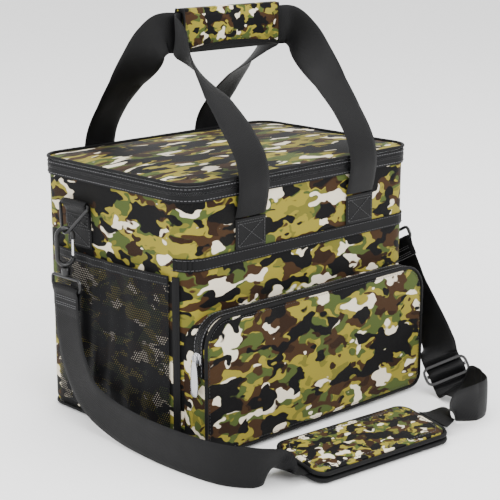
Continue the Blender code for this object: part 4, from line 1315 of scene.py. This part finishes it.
# --------------------------------------------------------------- net pockets
@dataclass
class NetPocket:
    """Stretch-net pocket on one end, with its puckered top binding and end binding."""

    side: Side
    top: float = 0.166
    foot: float = 0.011
    bulge: float = 0.0095
    mouth: float = 0.0065
    binding: float = 0.009
    flat: tuple[float, float] = (0.172, 0.150)

    def build(self) -> None:
        """Build the net, its top binding, end binding and seams."""
        name = self.side.value
        split = 1 - self.binding / (self.top - self.foot)
        net = Skin()
        columns, rows = 72, 44
        for row in range(rows + 1):
            for column in range(columns + 1):
                net.points.append(self._at(column / columns, split * row / rows, 0.0004))
        for row in range(rows):
            for column in range(columns):
                at = row * (columns + 1) + column
                net.faces.append((at, at + 1, at + columns + 2, at + columns + 1))
        made = settle(net.piece("net_" + name, Dress.NET), "bag", "mesh_net", "pocket_net_" + name)
        hem = self._hem(split).piece("net_binding_" + name, Dress.BINDING)
        settle(hem, "bag", "black_trim", "pocket_hem_" + name)
        dress_node("pocket_edge_" + name, Dress.BINDING)
        seams = Skin()
        for v in (split + 0.012, 1 - 0.012):
            line = [self._at(step / 80, v, 0.0014) for step in range(81)]
            out = [self.side.matrix().to_3x3() @ Vector((-1, 0, 0))] * len(line)
            seams.stitches(line, out, HEM_SEAM)
        settle(seams.piece("net_seams_" + name, Dress.THREAD), "bag", "black_trim")

    def _at(self, u: float, v: float, out: float) -> Vector:
        """A point on the net at u along it and v up it."""
        front = -FORM.half_d + FORM.corner + 0.001
        y = front - 2 * front * u
        z = self.foot + (self.top - self.foot) * v
        swell = math.sin(math.pi * min(max(u, 0.0), 1.0)) ** 0.7
        lift = self.mouth + (self.bulge - self.mouth) * math.sin(math.pi * min(v * 1.2, 1.0))
        foot = min(1.0, v * 4 + 0.15)
        fold = 0.0016 * math.sin(u * 41 + 4 * math.sin(v * 2.6)) * swell * (0.35 + 0.65 * (1 - v))
        fold += 0.0010 * soft_noise(Vector((0.0, y, z)), 28.0, 4.0 if self.side is Side.LEFT else 8.0) * swell
        offset = 0.0010 + max(lift * swell * foot + fold * foot, 0.0)
        return self.side.matrix() @ Vector((-FORM.half_w - offset - out, y, z))

    def _hem(self, split: float) -> Skin:
        """Folded binding along the net's top."""
        rings = []
        inner, middle, outer = split + 0.018, (split + 1) / 2, 1 - 0.018
        for step in range(81):
            u = step / 80
            pucker = 0.00025 * math.sin(u * 330)
            section = [(split, 0.0), (split, 0.0010), (inner, 0.0015), (middle, 0.0014 + pucker)]
            section += [(outer, 0.0017), (1.0, 0.0011), (1.0, 0.0), (middle, -0.0001)]
            rings.append([self._at(u, v, out - 0.0002) for v, out in section])
        return Skin().loft(rings)


# ------------------------------------------------------------------- handles
@dataclass
class Handle:
    """One carrying handle: sewn patches, free webbing and its half of the wrapped grip."""

    name: str
    sign: int
    pitch: float = 0.073
    width: float = WEB_WIDTH
    thick: float = WEB_THICK
    pivot_z: float = 0.2122
    grip_z: float = 0.368
    grip_half: float = 0.062
    grip_tall: float = 0.040
    web_y: float = 0.0025
    patch_low: float = 0.1833
    seam_in: float = 0.0026

    def build(self) -> None:
        """Build patches, webbing and grip."""
        self._patches()
        self._webbing()
        self._grip()

    def _flip(self, point: Point) -> Vector:
        """A point of the front handle moved to this handle."""
        return Vector((point[0], point[1] * self.sign, point[2]))

    def _patches(self) -> None:
        """Sewn ends on the bag with their box seams."""
        face = -FORM.half_d - FORM.gap - self.thick / 2
        for end, x in (("left", -self.pitch), ("right", self.pitch)):
            rise = self.pivot_z - 0.0008 - self.patch_low
            zs = [self.patch_low + rise * step / 14 for step in range(15)]
            path = [self._flip((x, face, z)) for z in zs]
            strip = Skin().strip(path, [Vector((1, 0, 0))] * len(path), self.width, self.thick)
            patch = strip.piece(f"handle_patch_{self.name}_{end}", Dress.WEBBING)
            settle(patch, "bag", "black_webbing", f"anchor_{self.name}_{end}")
            out = self._flip((0, -1, 0))
            top = face - self.thick / 2 - 0.0001
            low, high = self.patch_low + 0.0025, self.pivot_z - 0.0032
            half = self.width / 2 - self.seam_in
            left, right, second = x - half, x + half, high - 0.0024
            seams = Skin()
            runs = [
                [(left, low), (right, low), (right, high), (left, high), (left, low)],
                [(left, second), (right, second)],
                [(left, low), (right, high)],
                [(right, low), (left, high)],
            ]
            for run in runs:
                line = [self._flip((a, top, b)) for a, b in run]
                seams.stitches(line, [out] * len(line), PATCH_SEAM)
            settle(seams.piece(f"handle_seam_{self.name}_{end}", Dress.THREAD), "bag", "black_webbing")

    def _stations(self) -> list[tuple[Point, Point]]:
        """Right half of the webbing from its stitch line to the grip."""
        base = -FORM.half_d - FORM.gap - self.thick / 2
        x, top = self.pitch, self.grip_z
        return [
            ((x, base, self.pivot_z + 0.0010), (1, 0, 0)),
            ((x, base - 0.0032, self.pivot_z + 0.014), (1, 0, 0)),
            ((x, base - 0.0052, self.pivot_z + 0.034), (1, 0, 0)),
            ((x, base + 0.0010, FORM.height + 0.018), (1, 0, 0)),
            ((x + 0.001, base + 0.0190, FORM.height + 0.042), (0.99, 0.0, 0.05)),
            ((x + 0.002, base + 0.0420, FORM.height + 0.066), (0.95, -0.05, 0.25)),
            ((x + 0.004, base + 0.0680, FORM.height + 0.090), (0.75, -0.35, 0.60)),
            ((x + 0.005, base + 0.0860, top - 0.009), (0.20, -0.30, 0.92)),
            ((x + 0.002, base + 0.0980, top - 0.0006), (0.0, 0.0, 1.0)),
            ((x - 0.007, -self.web_y - 0.0012, top), (0.0, 0.0, 1.0)),
            ((x - 0.016, -self.web_y, top), (0.0, 0.0, 1.0)),
            ((0.020, -self.web_y, top), (0.0, 0.0, 1.0)),
        ]

    def _webbing(self) -> None:
        """Free webbing from one patch over the grip to the other."""
        half = self._stations()
        left = [((-x, y, z), (-a, b, c)) for (x, y, z), (a, b, c) in half]
        stations = half + list(reversed(left))
        points = smooth_run([self._flip(point) for point, _ in stations], 8)
        wides = even_run([self._flip(wide) for _, wide in stations], 8)
        strip = Skin().strip(points, wides, self.width, self.thick, 0.0005 * self.sign)
        web = strip.piece("handle_webbing_" + self.name, Dress.WEBBING)
        settle(web, "handle_" + self.name, "black_webbing", "handle_web_" + self.name)

    def _grip(self) -> None:
        """Padded printed wrap with an arched lower edge and black binding."""
        inner = self.web_y + self.thick / 2 + FORM.gap
        top = self.grip_z + self.width / 2 + FORM.gap
        rings, edge_path = [], []
        columns = 40
        for column in range(columns + 1):
            share = 2 * column / columns - 1
            x = self.grip_half * share
            arch = 0.006 * (1 - share**2)
            low = top + 0.0035 - self.grip_tall + arch
            full = 1 - abs(share) ** 8
            outer = inner + 0.0030 + 0.0026 * full
            ring = [self._flip((x, -FORM.gap / 2, top)), self._flip((x, -inner, top))]
            ring += [self._flip((x, -inner, low + (top - low) * step / 4)) for step in (3, 2, 1)]
            ring.append(self._flip((x, -inner, low)))
            for step in range(13):
                v = step / 12
                belly = math.sin(math.pi * min(v * 1.05, 1.0)) ** 0.5
                y = inner + 0.0012 + (outer - inner - 0.0012) * belly
                y += 0.00035 * soft_noise(Vector((x, v * 0.04, 0)), 70.0, 6.0)
                ring.append(self._flip((x, -y, low + (top + 0.0015 - low) * v)))
            ring.append(self._flip((x, -inner - 0.0008, top + 0.0029)))
            ring.append(self._flip((x, -FORM.gap / 2, top + 0.0036)))
            rings.append(ring)
            edge_path.append(self._flip((x, -(inner + 0.0011), low)))
        grip = Skin().loft(rings).piece("grip_wrap_" + self.name, Dress.WRAP)
        settle(grip, "handle_" + self.name, "camo_fabric", "grip_" + self.name)
        cord = Skin().tube(edge_path, 0.0016, 8)
        for ring in (rings[0], rings[-1]):
            rim = [ring[index] for index in range(5, 20)]
            cord.tube(rim, 0.0013, 8)
        binding = cord.piece("grip_binding_" + self.name, Dress.BINDING)
        settle(binding, "handle_" + self.name, "black_trim")


# ------------------------------------------------------------- hooks and rings
@dataclass
class HookEnd:
    """Tab, ring, hook and sewn strap end on one side."""

    side: Side
    shift: float = 0.045
    bar_z: float = 0.2125
    thick: float = WEB_THICK
    width: float = WEB_WIDTH
    tab_width: float = 0.0362
    lean: float = math.radians(26)
    right_swing: float = math.radians(30)

    def hang(self) -> Matrix:
        """Frame of the hanging hook: its origin is where it sits in the ring."""
        bar = Vector((-FORM.half_w - 0.0058, self.shift, self.bar_z))
        down = Matrix.Rotation(self.lean, 4, "Y") @ Vector((0, 0, -1))
        centre = bar + down * 0.0220
        turn = 0.0 if self.side is Side.LEFT else self.right_swing
        swing = Matrix.Translation(centre) @ Matrix.Rotation(turn, 4, "X") @ Matrix.Translation(-centre)
        return self.side.matrix() @ swing @ Matrix.Translation(bar + down * 0.0290)

    def eye_low(self) -> float:
        """Height of the eye's lower bar in the hanging frame."""
        high = 0.0016 + 0.0023 + FORM.gap - 0.0075
        swivel = high - 0.0206 - 0.0075 - 0.0023 - FORM.gap
        return swivel - 0.0070 - FORM.gap - 0.0017 - FORM.gap - 0.0115

    def build(self) -> None:
        """Build the tab and the strap end, and dress the hardware."""
        name = self.side.value
        self._tab()
        self._strap_end()
        for node in ("ring", "hook", "swivel_barrel", "swivel_eye"):
            dress_node(f"{node}_{name}", Dress.PLASTIC)
        for node in ("gate", "swivel_pin"):
            dress_node(f"{node}_{name}", Dress.STEEL)

    def _tab(self) -> None:
        """Sewn tab whose top folds round the ring's bar."""
        radius = 0.0016 + FORM.gap + self.thick / 2
        x_in = -FORM.half_w - FORM.gap - self.thick / 2
        bar_x = -FORM.half_w - 0.0058
        run = [Vector((x_in, 0, z)) for z in (0.170, 0.190, self.bar_z - 0.006)]
        run.append(Vector((x_in + (bar_x - x_in) * 0.15, 0, self.bar_z - 0.001)))
        for step in range(9):
            angle = math.radians(25 + 200 * step / 8)
            run.append(Vector((bar_x + radius * math.cos(angle), 0, self.bar_z + radius * math.sin(angle))))
        outer = x_in - self.thick - FORM.gap
        run.append(Vector((outer - FORM.gap * 2, 0, self.bar_z - 0.0075)))
        run += [Vector((outer, 0, self.bar_z - drop)) for drop in (0.012, 0.022)]
        place = self.side.matrix()
        points = [place @ (p + Vector((0, self.shift, 0))) for p in smooth_run(run, 3)]
        wides = [place.to_3x3() @ Vector((0, 1, 0))] * len(points)
        strip = Skin().strip(points, wides, self.tab_width, self.thick)
        tab = strip.piece("ring_tab_cloth_" + self.side.value, Dress.WEBBING)
        settle(tab, "bag", "black_webbing", "ring_tab_" + self.side.value)
        seams = Skin()
        out = place.to_3x3() @ Vector((-1, 0, 0))
        for x, low, high in ((outer - 0.0009, 0.1918, 0.2015), (x_in - 0.0009, 0.1722, 0.1885)):
            half = 0.0158
            loop = [(-half, low), (half, low), (half, high), (-half, high), (-half, low), (half, high)]
            line = [place @ Vector((x, self.shift + a, b)) for a, b in loop]
            seams.stitches(line, [out] * len(line), PATCH_SEAM)
        settle(seams.piece("ring_tab_seams_" + self.side.value, Dress.THREAD), "bag", "black_webbing")

    def _strap_end(self) -> None:
        """Strap end folded round the eye, with two pairs of seams."""
        low = self.eye_low()
        radius = 0.0017 + FORM.gap + self.thick / 2
        gap = self.thick / 2 + FORM.gap
        drop = 0.018
        leg = [(gap, -drop), (gap, -drop * 0.6), (gap * 1.1, -radius * 2.2)]
        run = [Vector((x, 0, z)) for x, z in leg]
        for step in range(11):
            angle = math.radians(-25 + 230 * step / 10)
            run.append(Vector((radius * math.cos(angle), 0, radius * math.sin(angle))))
        run += [Vector((-x, 0, z)) for x, z in reversed(leg)]
        place = self.hang() @ Matrix.Translation((0, 0, low))
        points = [place @ p for p in smooth_run(run, 3)]
        wides = [place.to_3x3() @ Vector((0, 1, 0))] * len(points)
        body = "eye_body_" + self.side.value
        strip = Skin().strip(points, wides, self.width, self.thick)
        end = strip.piece("strap_end_cloth_" + self.side.value, Dress.WEBBING)
        settle(end, body, "black_webbing", "strap_end_" + self.side.value)
        seams = Skin()
        for face in (-1, 1):
            x = face * (gap + self.thick / 2 + 0.0001)
            for z in (-0.0075, -0.0095, -0.0140, -0.0160):
                line = [place @ Vector((x, y, z)) for y in (-0.0172, 0.0, 0.0172)]
                out = place.to_3x3() @ Vector((face, 0, 0))
                seams.stitches(line, [out] * 3, STRAP_SEAM)
        settle(seams.piece("strap_end_seams_" + self.side.value, Dress.PALE_THREAD), body, "black_webbing")


# ------------------------------------------------------------- shoulder strap
@dataclass
class ShoulderStrap:
    """Both runs of the strap on the ground, the slide buckle and the shoulder pad."""

    width: float = WEB_WIDTH
    thick: float = WEB_THICK
    pad_length: float = 0.165
    pad_width: float = 0.068
    pad_layer: float = 0.0042
    buckle: Vector = field(default_factory=lambda: Vector((0.1530, -0.1580, 0.0245)))
    buckle_run: Vector = field(default_factory=lambda: Vector((-0.10, -0.62, -0.76)).normalized())
    buckle_facing: Vector = field(default_factory=lambda: Vector((0.735, -0.61, 0.29)))

    def build(self, left: HookEnd, right: HookEnd) -> None:
        """Build the runs and the pad, and dress the buckle."""
        dress_node("buckle_frame", Dress.PLASTIC)
        dress_node("buckle_bar", Dress.PLASTIC)
        pads = self._pad()
        for end, stations, steps in ((left, self._left(left), 12), (right, self._right(right), 14)):
            points = smooth_run([Vector(p) for p, _ in stations], steps)
            wides = even_run([Vector(w) for _, w in stations], steps)
            if end.side is Side.RIGHT:
                points = self._woven(points, wides)
            name = end.side.value
            run = Skin().strip(points, wides, self.width, self.thick, 0.0006)
            strap = run.piece("strap_run_" + name, Dress.WEBBING)
            settle(strap, None, "black_webbing", "strap_" + name)
            low = points[0] + (points[3 * steps] - points[0]) * 1.1
            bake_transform(strap)
            length = sum((b - a).length for a, b in zip(points, points[1:]))
            LOG.info("strap_run_%s is %.3f m long", name, length)
            nodes = [f"{n}_{name}" for n in ("swivel_eye", "swivel_pin", "swivel_barrel", "hook", "gate")]
            if end.side is Side.RIGHT:
                nodes += ["buckle_frame", "buckle_bar"]
            on_it = [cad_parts[node] for node in nodes]
            on_it += [bpy.data.objects[f"strap_end_{part}_{name}"] for part in ("cloth", "seams")]
            on_it += pads if end.side is Side.LEFT else []

    def _start(self, end: HookEnd) -> tuple[Vector, Vector]:
        """Where a run leaves its sewn end, and which way."""
        hang = end.hang()
        start = hang @ Vector((0, 0, end.eye_low() - 0.0183))
        return start, (hang.to_3x3() @ Vector((0, 0, -1))).normalized()

    def _pad_place(self) -> Matrix:
        """Where the pad lies."""
        turn = Matrix.Rotation(math.radians(-5), 4, "Z") @ Matrix.Rotation(math.radians(8), 4, "X")
        return Matrix.Translation((-0.027, -0.2070, 0.0108)) @ turn

    def _left(self, end: HookEnd) -> list[tuple[Point, Point]]:
        """Left run: eye, ground, along the side, round the front to the pad."""
        start, _ = self._start(end)
        pad = self._pad_place()
        across = pad.to_3x3() @ Vector((0, -1, 0))
        half = self.pad_length / 2
        return [
            (tuple(start), (0, -1, 0)),
            (tuple(start + Vector((0, 0, -0.004))), (0, -1, 0)),
            (tuple(start + Vector((0, 0, -0.009))), (0, -1, 0)),
            ((start.x - 0.002, 0.040, 0.090), (0, -1, 0.12)),
            ((start.x - 0.004, 0.030, 0.064), (0, -0.95, 0.35)),
            ((start.x - 0.007, 0.006, 0.037), (0, -0.75, 0.70)),
            ((-0.176, -0.032, 0.0235), (0, -0.32, 0.95)),
            ((-0.178, -0.080, 0.0200), (0, -0.05, 1)),
            ((-0.178, -0.130, 0.0200), (0, 0, 1)),
            ((-0.172, -0.172, 0.0200), (0, 0, 1)),
            ((-0.157, -0.197, 0.0200), (0, -0.05, 1)),
            ((-0.140, -0.2045, 0.0195), (0.0, -0.45, 0.9)),
            (tuple(pad @ Vector((-half - 0.020, 0, 0.0015))), tuple(across + Vector((0, 0, 0.25)))),
            (tuple(pad @ Vector((-half - 0.006, 0, 0))), tuple(across)),
            (tuple(pad @ Vector((-half + 0.008, 0, 0))), tuple(across)),
            (tuple(pad @ Vector((0, 0, 0))), tuple(across)),
            (tuple(pad @ Vector((half + 0.0057, 0, 0))), tuple(across)),
        ]

    def _right(self, end: HookEnd) -> list[tuple[Point, Point]]:
        """Right run: eye, slide buckle, ground, round the front to the pad."""
        start, along = self._start(end)
        pad = self._pad_place()
        across = pad.to_3x3() @ Vector((0, -1, 0))
        half = self.pad_length / 2
        wide = Vector((0, -1, 0)) - along * Vector((0, -1, 0)).dot(along)
        centre, run, facing = self.buckle, self.buckle_run, self._facing()
        return [
            (tuple(start), tuple(wide)),
            (tuple(start + along * 0.012), tuple(wide)),
            (tuple(start + along * 0.030), (0.0, -0.866, 0.50)),
            ((0.1675, -0.1205, 0.0700), (0.08, -0.86, 0.46)),
            (tuple(centre - run * 0.031 + Vector((0.0062, 0, 0))), (0.20, -0.86, 0.44)),
            (tuple(centre - run * 0.018), tuple(facing)),
            (tuple(centre - run * 0.010), tuple(facing)),
            (tuple(centre), tuple(facing)),
            (tuple(centre + run * 0.008), tuple(facing)),
            (tuple(centre + run * 0.015), tuple(facing)),
            (tuple(centre + run * 0.021 + Vector((0, 0, 0.0016))), (0.74, -0.53, 0.38)),
            ((0.1490, -0.1840, 0.0178), (0.45, -0.32, 0.80)),
            ((0.1465, -0.1985, 0.0202), (0.15, -0.10, 0.98)),
            ((0.1425, -0.2110, 0.0200), (0, 0, 1)),
            ((0.1310, -0.2255, 0.0200), (0, 0, 1)),
            ((0.1120, -0.2295, 0.0200), (0, 0, 1)),
            ((0.0880, -0.2225, 0.0195), (0.0, -0.35, 0.92)),
            (tuple(pad @ Vector((half + 0.022, 0, 0.0015))), tuple(across + Vector((0, 0, 0.30)))),
            (tuple(pad @ Vector((half + 0.0072, 0, 0))), tuple(across)),
        ]

    def _facing(self) -> Vector:
        """Width direction of the webbing in the buckle."""
        square = self.buckle_facing - self.buckle_run * self.buckle_facing.dot(self.buckle_run)
        return square.normalized()

    def _woven(self, points: Sequence[Vector], wides: Sequence[Vector]) -> list[Vector]:
        """Push the run over and under the buckle's bars."""
        moved = []
        for point, wide in zip(points, wides):
            reach = (point - self.buckle).dot(self.buckle_run)
            near = (point - self.buckle - self.buckle_run * reach).length < 0.006
            amount = 0.0
            if near and abs(reach) < 0.0160:
                fade = min(1.0, (0.0160 - abs(reach)) / 0.0045)
                amount = 0.0034 * math.cos(math.pi * min(abs(reach), 0.0088) / 0.0088) * fade
            moved.append(point + self.buckle_run.cross(wide).normalized() * amount)
        return moved

    def _pad(self) -> list[bpy.types.Object]:
        """Two cushioned layers with a bound rim and a quilted seam."""
        place = self._pad_place()
        half_l, half_w = self.pad_length / 2, self.pad_width / 2
        mid = self.thick / 2 + FORM.gap
        made = []
        for name, low, high, inset, dress, node, slot in (
            ("pad_under", -mid - self.pad_layer, -mid, 0.0, Dress.BINDING, "pad_base", "black_trim"),
            ("pad_upper", mid, mid + self.pad_layer, 0.0035, Dress.PAD, "pad_top", "camo_fabric"),
        ):
            outline = self._pad_outline(half_l - inset, half_w - inset)
            skin = Skin().slab(outline, low, high, 0.0019, place, 0.0018 if node == "pad_top" else 0.0)
            piece = settle(skin.piece(name, dress), "shoulder_pad", slot, node)
            made.append(piece)
        rim_line = self._pad_outline(half_l - 0.0020, half_w - 0.0020)
        rim = [place @ Vector((x, y, mid + 0.0014)) for x, y in rim_line]
        cord = Skin().tube(rim, 0.0019, 10, True)
        made.append(settle(cord.piece("pad_rim", Dress.BINDING), "shoulder_pad", "black_trim"))
        seam_line = self._pad_outline(half_l - 0.0085, half_w - 0.0085)
        top = mid + self.pad_layer + 0.0004
        seam = Skin().stitches([place @ Vector((x, y, top)) for x, y in seam_line],
                               [place.to_3x3() @ Vector((0, 0, 1))] * len(seam_line), closed=True)
        made.append(settle(seam.piece("pad_seam", Dress.THREAD), "shoulder_pad", "black_trim"))
        return made

    @staticmethod
    def _pad_outline(half_l: float, half_w: float, radius: float = 0.012) -> list[tuple[float, float]]:
        """Rounded oblong outline."""
        found = []
        for x, y, start in ((1, 1, 0), (-1, 1, 90), (-1, -1, 180), (1, -1, 270)):
            for step in range(9):
                angle = math.radians(start + 90 * step / 8)
                across = x * (half_l - radius) + radius * math.cos(angle)
                found.append((across, y * (half_w - radius) + radius * math.sin(angle)))
        dense = []
        for (ax, ay), (bx, by) in zip(found, found[1:] + found[:1]):
            spans = max(1, round(math.hypot(bx - ax, by - ay) / 0.006))
            dense += [(ax + (bx - ax) * s / spans, ay + (by - ay) * s / spans) for s in range(spans)]
        return dense


# -------------------------------------------------------------------- studio
@dataclass
class Studio:
    """Pale sweep, soft lights and the camera."""

    eye: Point = (-0.9548, -1.0269, 0.5018)
    turn: float = -43.76
    tilt: float = 14.15
    lens: float = 104.2

    def build(self) -> None:
        """Build the sweep, the lights and the camera."""
        self._camera()
        self._sweep()
        self._lights()

    def _camera(self) -> None:
        """Set the camera."""
        a, e = math.radians(self.turn), math.radians(self.tilt)
        back = Vector((math.sin(a) * math.cos(e), -math.cos(a) * math.cos(e), math.sin(e)))
        data = bpy.data.cameras.new("studio_camera")
        data.lens, data.sensor_width, data.clip_end = self.lens, 36.0, 30.0
        camera = bpy.data.objects.new("studio_camera", data)
        camera.location = self.eye
        camera.rotation_euler = back.to_track_quat("Z", "Y").to_euler()
        bpy.context.scene.collection.objects.link(camera)
        bpy.context.scene.camera = camera

    def _sweep(self) -> None:
        """Build the paper floor."""
        skin = Skin()
        skin.points = [Vector((x, y, -0.0004)) for x, y in ((-6, -6), (6, -6), (6, 6), (-6, 6))]
        skin.faces = [(0, 1, 2, 3)]
        skin.piece("paper_sweep", Dress.PAPER)

    def _light(self, name: str, place: Point, power: float, size: float) -> None:
        """One soft area light aimed at the bag."""
        data = bpy.data.lights.new(name, "AREA")
        data.energy, data.size = power, size
        lamp = bpy.data.objects.new(name, data)
        lamp.location = place
        lamp.rotation_euler = (Vector(place) - Vector((0, 0, 0.15))).to_track_quat("Z", "Y").to_euler()
        bpy.context.scene.collection.objects.link(lamp)

    def _lights(self) -> None:
        """Big soft key, fill and top lights over an even white room."""
        self._light("key", (-0.6, -2.2, 1.7), 62.0, 1.6)
        self._light("fill", (-2.3, 0.2, 1.2), 26.0, 1.6)
        self._light("top", (0.2, 0.1, 2.6), 60.0, 2.2)
        world = bpy.data.worlds.new("studio_room")
        world.use_nodes = True
        world.node_tree.nodes["Background"].inputs[0].default_value = (1.0, 1.0, 1.0, 1.0)
        world.node_tree.nodes["Background"].inputs[1].default_value = 1.7
        bpy.context.scene.world = world


def main() -> None:
    """Build every sub-assembly in order."""
    logging.basicConfig(level=logging.INFO, format="%(name)s %(message)s")
    Studio().build()
    hooks = [HookEnd(side) for side in Side]
    for hook in hooks:
        hook.build()
    ShoulderStrap().build(*hooks)
    Shell().build()
    Closure().build()
    Pouch().build()
    for side in Side:
        NetPocket(side).build()
    for name, sign in (("front", 1), ("back", -1)):
        Handle(name, sign).build()


if __name__ == "__main__":
    main()
